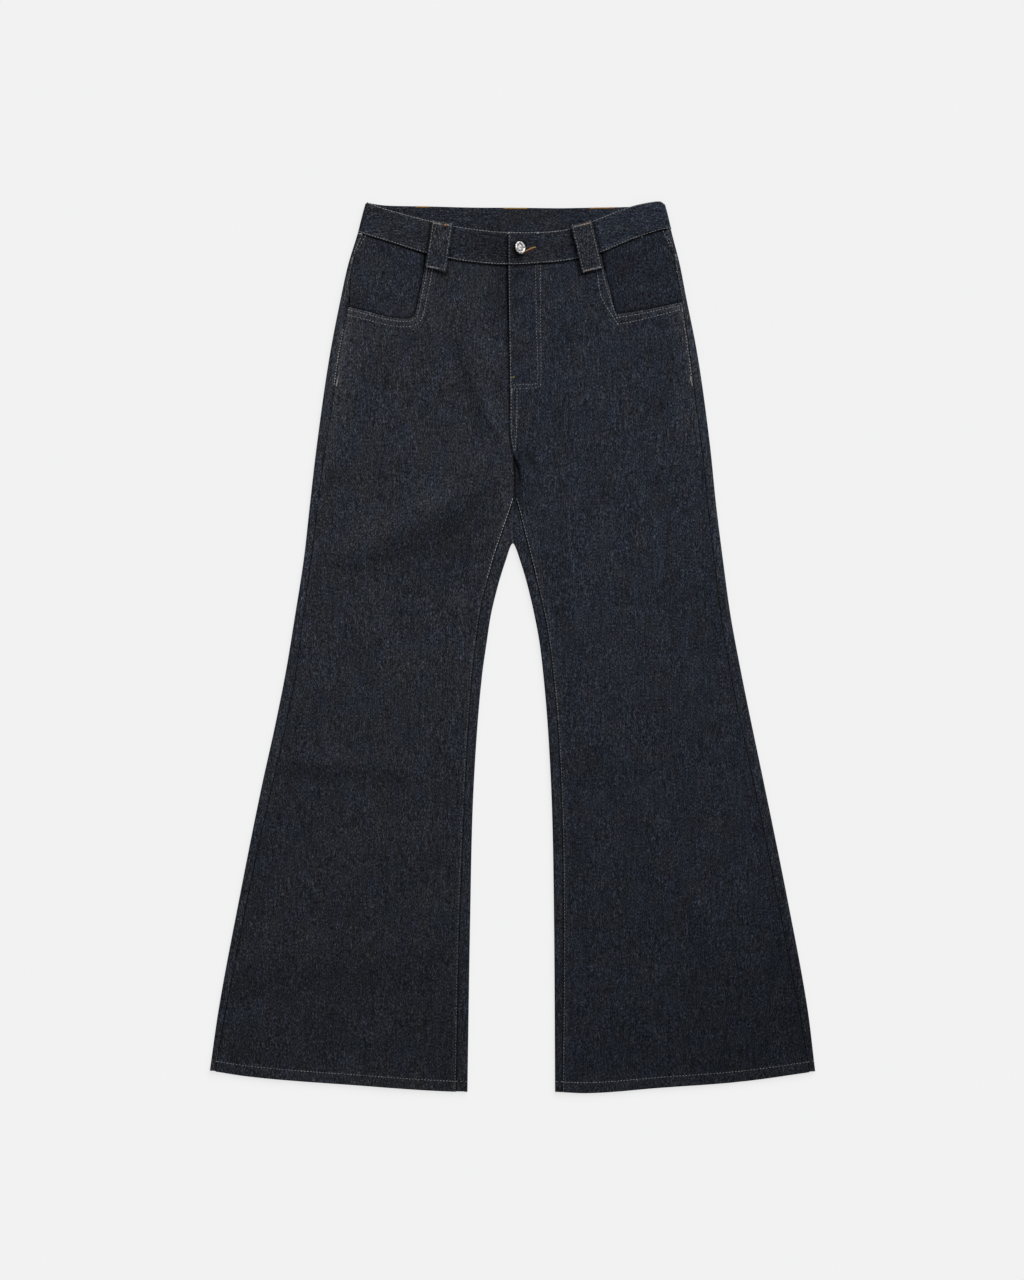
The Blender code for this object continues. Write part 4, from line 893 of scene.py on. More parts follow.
@dataclass(frozen=True)
class Value:
    """A number that changes over a surface, written in ordinary arithmetic."""

    book: NodeBook
    socket: NodeSocket

    def maths(self, operation: str, *others: Any, first: bool = True) -> Value:
        """Adds a Math node.

        Args:
            operation: what it works out.
            others: the other operands.
            first: whether this value is the first operand.
        """
        operands = [self, *others] if first else [*others, self]
        names = ("Value", "Value_001", "Value_002")
        node = self.book.add("ShaderNodeMath", {"operation": operation}, **dict(zip(names, operands)))
        return self.book.value(node)

    def __add__(self, other: Any) -> Value:
        """The sum."""
        return self.maths("ADD", other)

    def __sub__(self, other: Any) -> Value:
        """The difference."""
        return self.maths("SUBTRACT", other)

    def __rsub__(self, other: Any) -> Value:
        """The difference, reflected."""
        return self.maths("SUBTRACT", other, first=False)

    def __mul__(self, other: Any) -> Value:
        """The product."""
        return self.maths("MULTIPLY", other)

    __radd__ = __add__
    __rmul__ = __mul__

    def above(self, low: float, high: float) -> Value:
        """A soft step from 0 at low to 1 at high."""
        node = self.book.add(
            "ShaderNodeMapRange", {"interpolation_type": "SMOOTHSTEP"},
            Value=self, From_Min=low, From_Max=high, To_Min=0.0, To_Max=1.0)
        return self.book.value(node, "Result")

    def sine(self) -> Value:
        """Its sine."""
        return self.maths("SINE")


class Surface(NodeBook):
    """A material's nodes, with its pattern in millimetres on Object coordinates."""

    def __init__(self, name: str, turn: float = 0.0) -> None:
        """Starts a material.

        Args:
            name: its name.
            turn: how far the cloth's warp is turned from the length of the jeans, in degrees.
        """
        self.material = bpy.data.materials.new(name)
        self.material.use_nodes = True
        super().__init__(self.material.node_tree)
        where = self.add("ShaderNodeTexCoord")
        mapped = self.add(
            "ShaderNodeMapping", {"vector_type": "POINT"}, Vector=where.outputs["Object"],
            Rotation=(0.0, 0.0, math.radians(turn)), Scale=(1000.0, 1000.0, 1000.0))
        self.spot = mapped.outputs[0]
        parts = self.add("ShaderNodeSeparateXYZ", Vector=self.spot)
        self.x, self.y, self.z = (Value(self, parts.outputs[i]) for i in range(3))
        plain = self.add("ShaderNodeSeparateXYZ", Vector=where.outputs["Object"])
        self.side, self.up = (Value(self, plain.outputs[i]) for i in (0, 1))

    def noise(
        self, size: tuple[float, float], detail: float = 2.0, rough: float = 0.5, start: float = 0.0
    ) -> Value:
        """Even noise from 0 to 1.

        Args:
            size: its grain across and along the warp, in millimetres.
            detail: how many finer grains it holds.
            rough: how strong those are.
            start: moves the pattern, so that two differ.
        """
        scale = (1.0 / size[0], 1.0 / size[1], 1.0 / size[0])
        moved = self.add(
            "ShaderNodeVectorMath", {"operation": "MULTIPLY_ADD"},
            Vector=self.spot, Vector_001=scale, Vector_002=(start, 0.7 * start, 0.3 * start))
        node = self.add(
            "ShaderNodeTexNoise", {"noise_dimensions": "3D"}, Vector=moved.outputs[0],
            Scale=1.0, Detail=detail, Roughness=rough)
        return self.value(node, "Fac")

    def attribute(self, name: str) -> Value:
        """One of the mesh's own values."""
        return self.value(self.add("ShaderNodeAttribute", {"attribute_name": name}), "Fac")

    def mix(self, share: Any, one: Any, two: Any) -> NodeSocket:
        """Two colours mixed."""
        node = self.add("ShaderNodeMix", {"data_type": "RGBA"}, Factor_Float=share, A_Color=one, B_Color=two)
        return next(s for s in node.outputs if s.identifier == "Result_Color")

    def dim(self, colour: Any, by: Value) -> NodeSocket:
        """A colour times a number."""
        start = colour[:3] if isinstance(colour, tuple) else colour
        return self.add("ShaderNodeVectorMath", {"operation": "SCALE"}, Vector=start, Scale=by).outputs[0]

    def bump(self, height: Value, distance: float) -> NodeSocket:
        """A relief in metres for the shader's normal."""
        return self.add("ShaderNodeBump", Height=height, Distance=distance, Strength=1.0).outputs[0]

    def finish(self, **sockets: Any) -> Material:
        """Adds the shader and the output, and gives the material."""
        shader = self.add("ShaderNodeBsdfPrincipled", **sockets)
        self.add("ShaderNodeOutputMaterial", Surface=shader.outputs[0])
        return self.material


Colour = tuple[float, float, float]


def paint(colour: Colour) -> tuple[float, float, float, float]:
    """A colour with its alpha."""
    return (*colour, 1.0)


# ---- finishes
@dataclass(frozen=True)
class Denim:
    """Dark denim: a blue-black warp, a greyer weft between it, slubs, worn edges, and painted light and
    shade.
    """

    name: str
    turn: float = 0.0
    blue: Colour = (0.0172, 0.0210, 0.0305)
    brown: Colour = (0.0205, 0.0208, 0.0243)
    worn: Colour = (0.0222, 0.0218, 0.0228)
    brownness: float = 0.5
    blueward: float = 0.0
    brightness: float = 1.0
    contrast: float = 5.1
    dusk: float = 0.0

    def material(self) -> Material:
        """Its material."""
        s = Surface(self.name, self.turn)
        grain = s.noise((1.05, 2.4), 1.0, 0.5, 11.0)
        streaks = s.noise((1.5, 13.0), 1.0, 0.5, 3.0)
        slubs = s.noise((2.6, 46.0), 1.0, 0.5, 23.0)
        cloud = s.noise((34.0, 46.0), 2.0, 0.5, 31.0)
        patches = s.noise((8.0, 17.0), 2.0, 0.6, 41.0)
        hue = s.noise((24.0, 38.0), 3.0, 0.6, 53.0)
        violet = s.noise((17.0, 24.0), 3.0, 0.6, 61.0)

        power = (grain - 0.5) * self.contrast + (streaks - 0.5) * 1.65 + (slubs - 0.5) * 0.6
        power = power + (cloud - 0.5) * 0.32 + (patches - 0.5) * 0.15
        wear = s.attribute("wear")
        scuff = s.noise((1.6, 3.2), 2.0, 0.7, 71.0)
        power = power + wear * (0.15 + scuff * 0.6)
        level = power.maths("POWER", math.e, first=False)
        # Painted light: brighter towards the waist, darker towards the hems.
        level = level * (0.58 + s.up.above(-0.60, 0.36) * 0.42)
        # Painted shade: darker on the lower outer part of the leg.
        if self.dusk:
            level = level * (1.0 - s.up.above(-0.22, -0.50) * s.side.above(0.10, 0.30) * self.dusk)
        level = level * (1.0 - s.attribute("shade") * 0.9)
        level = level * self.brightness

        share = hue.above(0.24, 0.76) + (self.brownness - 0.5)
        if self.blueward:
            share = share - s.side.above(0.04, 0.12) * self.blueward
            level = level * (1.0 + s.side.above(0.06, 0.11) * 0.2)
        share = share.maths("MAXIMUM", 0.0)
        tint = s.mix(share.maths("MINIMUM", 1.0), paint(self.blue), paint(self.brown))
        tint = s.mix(violet.above(0.54, 0.74) * 0.7, tint, paint((0.0200, 0.0195, 0.0280)))
        tint = s.mix(violet.above(0.46, 0.26) * 0.7, tint, paint((0.0185, 0.0235, 0.0265)))
        tint = s.mix((wear * 0.55).maths("MINIMUM", 0.6), tint, paint(self.worn))
        colour = s.dim(tint, level)

        twill = ((s.x * 7.4 + s.y * 3.7) + streaks * 2.0).sine() * 0.5
        pucker = s.noise((7.0, 4.2), 1.0, 0.5, 83.0) * s.attribute("pucker")
        relief = twill * 0.10 + grain * 0.22 + streaks * 0.16 + pucker * 1.1
        return s.finish(
            Base_Color=colour, Roughness=0.92 - grain * 0.10, Specular_IOR_Level=0.05,
            Sheen_Weight=0.012, Sheen_Roughness=0.5, Sheen_Tint=paint((0.55, 0.60, 0.72)),
            Normal=s.bump(relief, 0.0006))


@dataclass(frozen=True)
class SewingThread:
    """Spun sewing thread, a little uneven in tone."""

    name: str
    colour: Colour
    second: Colour
    change: float = 9.0

    def material(self) -> Material:
        """Its material."""
        s = Surface(self.name)
        tone = s.noise((self.change, self.change), 2.0, 0.6, 5.0)
        fuzz = s.noise((0.35, 0.35), 2.0, 0.6, 15.0)
        colour = s.mix(tone.above(0.38, 0.62), paint(self.colour), paint(self.second))
        colour = s.dim(colour, 0.65 + fuzz * 0.7)
        ply = ((s.x + s.y) * 14.0 + s.z * 6.0).sine()
        return s.finish(
            Base_Color=colour, Roughness=0.75 - fuzz * 0.1, Specular_IOR_Level=0.25,
            Normal=s.bump(ply * 0.5 + fuzz, 0.00005))


@dataclass(frozen=True)
class Silver:
    """Plated metal with tarnish in its hollows, painted shade under a button's rim, and fine scratches."""

    name: str
    bright: Colour = (0.93, 0.92, 0.90)
    dull: Colour = (0.06, 0.056, 0.05)

    def material(self) -> Material:
        """Its material."""
        s = Surface(self.name)
        stain = s.noise((1.5, 1.5), 2.0, 0.6, 7.0)
        scratch = s.noise((0.12, 2.6), 2.0, 0.6, 17.0)
        # The mesh's shade values: tarnish in the button's groove and painted shade under its rim.
        tarnish_and_rim_shade = s.attribute("shade")
        dark = (stain.above(0.42, 0.58) * 0.82 + tarnish_and_rim_shade * 0.8).maths("MINIMUM", 1.0)
        colour = s.mix(dark, paint(self.bright), paint(self.dull))
        return s.finish(
            Base_Color=colour, Metallic=0.68 - dark * 0.25, Roughness=0.32 + dark * 0.2 + scratch * 0.12,
            Normal=s.bump(stain * 0.7 + scratch * 0.3, 0.00012))


@dataclass(frozen=True)
class WovenTape:
    """The zip's closely woven tape."""

    name: str
    colour: Colour = (0.012, 0.013, 0.017)

    def material(self) -> Material:
        """Its material."""
        s = Surface(self.name)
        rib = (s.y * 9.0).sine() * 0.5 + 0.5
        grain = s.noise((0.5, 0.5), 2.0, 0.6, 9.0)
        colour = s.dim(paint(self.colour), 0.7 + rib * 0.35 + grain * 0.3)
        return s.finish(
            Base_Color=colour, Roughness=0.92 - grain * 0.08, Specular_IOR_Level=0.2,
            Normal=s.bump(rib + grain * 0.4, 0.0001))


@dataclass(frozen=True)
class Paper:
    """The plain pale floor."""

    name: str
    colour: Colour = (0.15, 0.15, 0.15)
    glow: float = 0.727

    def material(self) -> Material:
        """Its material, lit from behind like a light table, so that shadows on it are faint."""
        s = Surface(self.name)
        tone = s.noise((300.0, 300.0), 2.0, 0.5, 1.0)
        return s.finish(
            Base_Color=s.dim(paint(self.colour), 0.99 + tone * 0.02), Roughness=0.9,
            Specular_IOR_Level=0.0, Emission_Color=paint((1.0, 1.0, 1.0)),
            Emission_Strength=self.glow)


class Finishes:
    """All the materials, made once."""

    def __init__(self) -> None:
        """Makes them."""
        right, left = Leg
        self.legs = {
            right: Denim("denim_right_leg", brownness=0.55, brightness=0.915).material(),
            left: Denim("denim_left_leg", brownness=0.17, brightness=0.845, dusk=0.22).material(),
        }
        self.backs = {
            right: Denim("denim_right_back", brownness=0.5, brightness=0.97).material(),
            left: Denim("denim_left_back", brownness=0.38, brightness=0.91, dusk=0.22).material(),
        }
        self.facings = {
            right: Denim("denim_right_facing", brownness=0.40, brightness=0.85).material(),
            left: Denim("denim_left_facing", brownness=0.22, brightness=0.70).material(),
        }
        self.band = Denim(
            "denim_waistband", turn=90.0, brownness=0.45, blueward=0.7, brightness=0.765,
            contrast=5.5).material()
        self.loop = Denim(
            "denim_belt_loops", turn=4.0, brownness=0.8, brightness=0.90, contrast=6.4).material()
        self.threads = {
            key: SewingThread(name, colour, second, change).material()
            for key, name, colour, second, change in (
                ("thread", "thread_beige", (0.299, 0.296, 0.290), (0.163, 0.170, 0.183), 6.0),
                ("olive", "thread_olive", (0.24, 0.20, 0.06), (0.15, 0.15, 0.07), 4.0),
                ("pale", "thread_pale", (0.485, 0.478, 0.46), (0.29, 0.29, 0.286), 6.0),
                # The buttonhole's lower lip: a dark copy of the ochre thread, painted shade.
                ("lip", "thread_shaded", (0.070, 0.014, 0.018), (0.028, 0.010, 0.022), 3.0),
                ("bright_thread", "thread_ochre", (0.42, 0.17, 0.055), (0.40, 0.27, 0.06), 5.0),
            )
        }
        self.silver = Silver("silver_metal").material()
        self.tape = WovenTape("zip_tape_weave").material()
        self.floor = Paper("floor").material()


# ---- making pieces
def new_object(name: str, data: ID) -> Object:
    """An object in the scene."""
    obj = bpy.data.objects.new(name, data)
    bpy.context.scene.collection.objects.link(obj)
    return obj


@dataclass
class Workshop:
    """What every sub-assembly needs: the frame's nodes, the finishes and the solids read so far."""

    nodes: dict[str, Object]
    finishes: Finishes
    forms: dict[str, SolidForm] = field(default_factory=dict)

    def form(self, node: str) -> SolidForm:
        """The surface of a node of the frame."""
        if node not in self.forms:
            self.forms[node] = SolidForm(self.nodes[node])
        return self.forms[node]

    def piece(self, name: str, mesh: Mesh, slot: str) -> Object:
        """A piece of the jeans, which rides on their one body.

        Args:
            name: its name.
            mesh: its mesh, already in place.
            slot: not used.
        """
        obj = new_object(name, mesh)
        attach(obj, "root")
        LOG.info("%s: %d faces", name, len(mesh.polygons))
        return obj

    def cloth(
        self, name: str, nets: Sequence[Net], material: Material, node: str,
        thickness: float = CLOTH, rests_on: Sequence[str] = (), slot: str = "denim",
    ) -> None:
        """A piece of cloth: a thin shell behind the nets of its right side.

        Args:
            name: its name.
            nets: the nets, which meet along shared edges.
            material: its finish.
            node: the frame's node that it stands for.
            thickness: the cloth's thickness in millimetres.
            rests_on: not used.
            slot: handed on to piece, which does not use it.
        """
        mesh = mesh_of_nets(name, nets)
        mesh.materials.append(material)
        obj = self.piece(name, mesh, slot)
        wall = obj.modifiers.new("cloth", "SOLIDIFY")
        wall.thickness = thickness * MM
        wall.offset = -1.0
        wall.use_even_offset = True
        wall.thickness_clamp = 0.0
        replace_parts(obj, node)
        widths, lengths, areas = zip(*(net.measure() for net in nets))
        width, length, area = max(widths), max(lengths), sum(areas)
        if len(nets) > 1:
            width = max(width, area / length)
        area = min(area, width * length)


def mesh_of_nets(name: str, nets: Sequence[Net]) -> Mesh:
    """One mesh of several nets, joined where they meet, with their values as attributes."""
    points = np.concatenate([net.points().reshape(-1, 3) for net in nets])
    starts = np.cumsum([0] + [net.across.size for net in nets[:-1]])
    faces = np.concatenate([net.quads() + start for net, start in zip(nets, starts)])
    values = {key: np.concatenate([getattr(net, key).ravel() for net in nets]) for key in ("wear", "shade")}
    values["pucker"] = np.clip(values["wear"] * 1.6, 0.0, 1.0)
    mesh = bpy.data.meshes.new(name)
    mesh.from_pydata(points.tolist(), [], faces.tolist())
    for key, numbers in values.items():
        layer = mesh.attributes.new(key, "FLOAT", "POINT")
        layer.data.foreach_set("value", numbers.astype(np.float32))
    tidy = bmesh.new()
    tidy.from_mesh(mesh)
    bmesh.ops.delete(tidy, geom=[vert for vert in tidy.verts if not vert.link_faces], context="VERTS")
    bmesh.ops.remove_doubles(tidy, verts=tidy.verts, dist=0.02 * MM)
    close_mesh(tidy, mesh)
    return mesh


def close_mesh(made: bmesh.types.BMesh, mesh: Mesh) -> None:
    """Writes what was made into a mesh, which is shaded smooth."""
    made.to_mesh(mesh)
    made.free()
    mesh.shade_smooth()


# ---- legs
@dataclass
class FrontLeg:
    """A front, cut away at its pocket scoop."""

    shop: Workshop
    leg: Leg
    rows: int = 300
    columns: int = 92
    scoop: Array = field(init=False)

    def __post_init__(self) -> None:
        """Draws the scoop's edge."""
        self.scoop = scoop_line(self.leg, STEP)

    def heights(self, across: Array, down: Array) -> Array:
        """Its heights, which run on over the pocket facing where the front is cut away."""
        form, facing = (self.shop.form(f"{kind}_{self.leg.word}") for kind in ("front", "pocket_facing"))
        found = np.array([form.height_at(x, d) for x, d in zip(across.ravel(), down.ravel())])
        for i in np.flatnonzero(np.isnan(found)):
            if down.flat[i] < POCKET_END:
                found[i] = facing.height_at(across.flat[i], down.flat[i]) + CLOTH + SEAM_GAP
        return carry_on(found.reshape(across.shape))

    def net(self) -> Net:
        """The right side of the front."""
        leg, edge = self.leg, self.scoop
        half = leg.sign * HALF_GAP
        shape = PanelShape(
            outer=lambda down: outseam(leg, down) - half,
            inner=lambda down: front_inner(leg, down) + half,
            upper=under_band,
            lower=HEM,
        )
        across, down = shape.net(spread(self.rows, 0.45), spread(self.columns, 0.25))
        net = Net(across, down, soften(self.heights(across, down), 5.0, 3.0))
        beyond = leg.sign * 270.0
        net.trim(edge, np.concatenate([edge, [[beyond, edge[-1, 1]], [beyond, 0.0], [edge[0, 0], 0.0]]]))
        self.raise_seams(net)
        self.shade_crotch(net)
        self.add_creases(net)
        return net.mirrored() if leg is Leg.LEFT else net

    def seams(self, net: Net, gap: float = 0.0) -> tuple[Array, Array]:
        """How far each point lies from the outseam and from the inner edge, less a gap at both."""
        leg = self.leg
        side = np.abs(outseam(leg, net.down) - leg.sign * gap - net.across)
        inner = np.abs(front_inner(leg, net.down) + leg.sign * gap - net.across)
        return side, inner

    def add_creases(self, net: Net) -> None:
        """Adds the folds, worn and with a painted highlight on their ridges, and painted shade in their
        hollows.
        """
        side, inner = self.seams(net)
        free = (0.3 + 0.7 * smooth(side / 14.0)) * (0.25 + 0.75 * smooth(inner / 12.0))
        relief = relief_of(FRONT_CREASES, net.across, net.down) + ripple(net.across, net.down)
        relief = relief * free
        if self.leg is Leg.LEFT:
            relief += relief_of(SEAM_CREASES, net.across, net.down)
        net.height = self.above_back(net, net.height + relief + self.loft(net))
        # Ridges worn and given a painted highlight, hollows given painted shade.
        net.wear += 0.08 * np.maximum(relief, 0.0)
        net.shade += 0.09 * np.maximum(-relief, 0.0)

    def loft(self, net: Net) -> Array:
        """How far the air between the leg's layers lifts the front away from its seams."""
        side, inner = self.seams(net)
        held = smooth(side / 36.0) * smooth(inner / 36.0) * smooth((HEM(net.across) - net.down) / 60.0)
        most = 0.8 + relief_of(THIGH_LOFT, net.across, net.down)
        return held * most * smooth((net.down - POCKET_END) / 60.0)

    def above_back(self, net: Net, height: Array) -> Array:
        """Keeps the front's heights above the back's cloth, softly."""
        lowest = 2.0 * CLOTH + SEAM_GAP + np.maximum(relief_of(BACK_CREASES, net.across, net.down), 0.0)
        clear = height - lowest
        return lowest + 0.5 * (clear + np.sqrt(clear**2 + 0.35**2))

    def raise_seams(self, net: Net) -> None:
        """Adds the doubled cloth along the seams, its worn edges, and painted shade in the seam lines and
        beside the fly's edge.
        """
        leg, across, down = self.leg, net.across, net.down
        side, inner = self.seams(net, HALF_GAP)
        hem = np.abs(HEM(across) - down)
        top = np.abs(down - FRONT_BAND_SEAM(across) - BAND_GAP)
        scoop = distance_to(self.scoop[::4], across, down)
        upper = smooth((SIDE_STITCH_END + 4.0 - down) / 8.0)
        legs = smooth((down - CROTCH_DOWN) / 10.0)
        rope = np.sin(2.0 * np.pi * (across / 5.4 + hem / 26.0 + 0.7 * np.sin(across / 31.0)))
        net.height += (
            doubled(inner, 7.0, 0.45) * legs
            + doubled(side, 8.0, 0.45) * upper
            + doubled(side, 9.0, 0.2) * (1.0 - upper)
            + doubled(hem, HEM_DEPTH, 0.55)
            + 0.2 * rope * smooth((HEM_DEPTH - hem) / 3.0)
            + doubled(scoop, 10.0, 0.5)
        )
        for distance in (side, inner, hem, scoop, top):
            net.height += turned_edge(distance)
        net.wear += hem_wear(hem)
        net.wear += 0.55 * doubled(inner, 7.0, 0.5) * legs + 0.35 * fade(inner, 1.5)
        net.wear += 0.55 * doubled(side, 8.0, 0.6) * upper + 0.2 * fade(side, 1.5)
        net.wear += 0.6 * doubled(scoop, 11.0, 0.6) + 0.5 * fade(scoop, 1.6)
        net.wear += 0.85 * fade(side, 11.0) * smooth((340.0 - down) / 70.0)
        net.shade += 0.95 * bell(top, 1.7) + 0.2 * fade(side, 0.9)
        net.shade += 0.6 * fade(inner, 0.7) * legs
        if leg is Leg.LEFT:
            self.raise_fly(net, inner)
            return
        edge = np.abs(across - CENTRE_FRONT(down) + 1.2)
        narrow = between(1.6, 1.0, smooth((down - FLY_END) / 10.0))
        net.shade += 0.85 * bell(edge, narrow) * smooth((CROTCH_DOWN - 46.0 - down) / 14.0)
        net.shade += 0.22 * fade(np.maximum(FLY_EDGE - across, 0.0), 9.0) * smooth((190.0 - down) / 90.0)

    def shade_crotch(self, net: Net) -> None:
        """Darkens the slit where the fronts meet and the hollows round it, and along the loops."""
        across, down = net.across, net.down
        _, inner = self.seams(net, HALF_GAP)
        left = self.leg is Leg.LEFT
        slit = distance_to(smooth_path(CROTCH_SLIT, 3.0), across, down)
        fading = smooth((350.0 - down) / 34.0)
        opening = 0.9 + 0.7 * smooth((down - 300.0) / 20.0)
        net.shade += (0.8 * bell(slit, opening) + 0.2 * bell(slit, 6.0)) * fading
        low = smooth((down - 300.0) / 10.0) * smooth((372.0 - down) / 20.0)
        net.shade += 0.72 * bell(inner, 1.6) * low
        net.shade += 0.26 * patch(net, Spot(18.0, 304.0), Spot(7.0, 13.0))
        net.shade += 0.24 * patch(net, Spot(8.5, 345.0), Spot(5.0, 14.0)) * left
        legs = smooth((down - CROTCH_DOWN) / 10.0)
        net.shade += 0.6 * bell(inner, 1.6) * legs * smooth((520.0 - down) / 90.0) * left
        if not left:
            net.shade += 0.08 * bell(across + 88.0, 36.0) * smooth((down - 850.0) / 60.0)
        shade_loops(net, LOOP_EDGES[self.leg], 0.5)

    def raise_fly(self, net: Net, inner: Array) -> None:
        """Adds the fly's second layer under its J of stitches, and the seam below it."""
        down = net.down
        fly = smooth((36.5 - net.across) / 2.0) * smooth((FLY_END + 1.0 - down) / 2.5)
        net.height += 0.5 * fly
        net.shade += 0.05 * fly
        below = smooth((down - FLY_END) / 3.0) * smooth((CROTCH_DOWN - 50.0 - down) / 16.0)
        net.height += doubled(inner, 9.0, 0.45) * below
        above = smooth((CROTCH_DOWN - 40.0 - down) / 10.0)
        net.wear += 0.65 * fade(inner, 1.3) * above + 0.3 * doubled(inner, 9.0, 0.5) * below
        net.wear += 0.3 * fade(np.abs(net.across - 32.0), 3.0) * fly
        foot = np.abs(down - 221.5 + 0.06 * net.across)
        net.wear += 0.5 * fade(foot, 3.0) * smooth((37.0 - net.across) / 3.0)

    def build(self) -> None:
        """Makes the front."""
        leg, word = self.leg, self.leg.word
        self.shop.cloth(
            leg.front, [self.net()], self.shop.finishes.legs[leg], f"front_{word}",
            rests_on=[f"back_{word}", f"pocket_facing_{word}"])


@dataclass
class BackLeg:
    """A back leg, folded round the leg's edges to the seams on the front."""

    shop: Workshop
    leg: Leg
    strip: int = 8
    roll: int = 10
    flat: int = 56
    hip_rows: int = 80
    leg_rows: int = 190

    def fold(self, down: float) -> tuple[Spot, Array]:
        """The folded inner edge at a place, and the direction from it into the leg."""
        if down <= APEX_DOWN + AT_APEX:
            return Spot(APEX_ACROSS, APEX_DOWN), np.array([0.0, -1.0])
        edge = INNER_EDGE[self.leg]
        slope = float(edge(down + 0.02) - edge(down)) / 0.02
        length = math.hypot(slope, 1.0)
        sign = self.leg.sign
        return Spot(float(edge(down)), down), np.array([sign / length, -sign * slope / length])

    def sections(self) -> tuple[Array, Array, Array]:
        """How far down each row lies at the side, at the inner edge and at the inseam."""
        leg = self.leg
        hip = np.linspace(0.0, 1.0, self.hip_rows, endpoint=False)
        corner = SIDE_EDGE[leg](84.0) - leg.sign * float(EDGE_RADIUS(84.0))
        side_top, back_top = (float(yoke_seam(across)) + HALF_GAP for across in (corner, CENTRE_BACK))
        ends = (SIDE_EDGE[leg](1043.0), INNER_EDGE[leg](1068.0), INSEAM[leg](1068.0))
        sides, backs, fronts = (
            [*(getattr(row, name) for row in LEG_SECTIONS), float(HEM(end))]
            for name, end in zip(SectionRow._fields, ends))
        places = np.arange(len(sides))
        steps = np.interp(np.linspace(sides[0], sides[-1], self.leg_rows), sides, places)
        near_hem = between(steps[-2], steps[-1], np.array([0.3, 0.6, 0.8]))
        steps = np.sort(np.concatenate([steps, near_hem]))
        side = np.concatenate([between(side_top, sides[0], hip), Curve(places, sides)(steps)])
        back = np.concatenate([between(back_top, backs[0], hip), Curve(places, backs)(steps)])
        front = np.concatenate([np.full(len(hip), CROTCH_DOWN), Curve(places, fronts)(steps)])
        return side, back, front

    def inner_line(self, back: Array) -> Array:
        """The inner edge of the flat underside: the centre back, then beside the folded edge."""
        tip = float(EDGE_RADIUS(APEX_DOWN))
        line = np.empty((len(back), 2))
        for i, down in enumerate(back):
            if down < APEX_DOWN + AT_APEX:
                reach = tip if down > APEX_DOWN - AT_APEX else 0.0
                line[i] = CENTRE_BACK + self.leg.sign * CLOSED, down - reach
            else:
                spot, inward = self.fold(float(down))
                line[i] = np.array(spot) + inward * float(EDGE_RADIUS(down))
        hips = back < APEX_DOWN - AT_APEX
        evenly = between(line[0, 1], APEX_DOWN - tip, np.linspace(0.0, 1.0, hips.sum()))
        line[hips, 1] = np.minimum(line[hips, 1], evenly)
        return line

    def main_net(self, side: Array, back: Array) -> Net:
        """From the outseam on the front, round the side, to the inner edge of the underside."""
        leg, sign = self.leg, self.leg.sign
        form = self.shop.form(f"back_{leg.word}")
        edge, radius = SIDE_EDGE[leg](side)[:, None], EDGE_RADIUS(side)[:, None]
        inset = (OUTSEAM_INSET[leg](side) - HALF_GAP)[:, None]
        parts = spread(self.strip, 0.4)[None, :]
        strip_across = edge - sign * between(inset, radius, parts)
        strip_down = np.repeat(side[:, None], parts.size, axis=1)
        strip_height = form.heights(strip_across, strip_down, low=UPPER_LAYER)
        strip_height[:, -1:] = 2.0 * radius
        roll_across, roll_height = roll_round(edge, radius, sign, self.roll)
        roll_down = np.repeat(side[:, None], roll_across.shape[1], axis=1)

        inner = self.inner_line(back)
        parts = spread(self.flat, 0.35)[None, :]
        flat_across = between(edge - sign * radius, inner[:, :1], parts)
        flat_down = between(side[:, None], inner[:, 1:], parts)
        t = np.clip((side - side[0]) / (side[-1] - side[0]), 0.0, 1.0)[:, None]
        flat_down += (HEM(flat_across[-1:]) - flat_down[-1:]) * t**8
        flat_height = soften(form.heights(flat_across, flat_down, Face.UNDER, high=UPPER_LAYER), 3.0, 2.0)
        lift = np.maximum(relief_of(BACK_CREASES, flat_across, flat_down), 0.0)
        hold = smooth(parts / 0.08) * smooth((1.0 - parts) / 0.06)
        flat_height = np.maximum(flat_height, 0.0) + lift * hold
        net = Net.side_by_side(
            (strip_across, strip_down, strip_height), (roll_across, roll_down, roll_height),
            (flat_across, flat_down, flat_height))
        seam = np.abs(net.across - (edge - sign * inset))
        seam[:, self.strip + 2:] = FAR
        net.height += turned_edge(seam)
        net.shade += 0.35 * fade(seam, 0.8)
        net.wear += 0.7 * fade(seam, 6.0) * smooth((260.0 - net.down) / 80.0)
        net.wear[:, : self.strip + self.roll] += 0.2
        return net

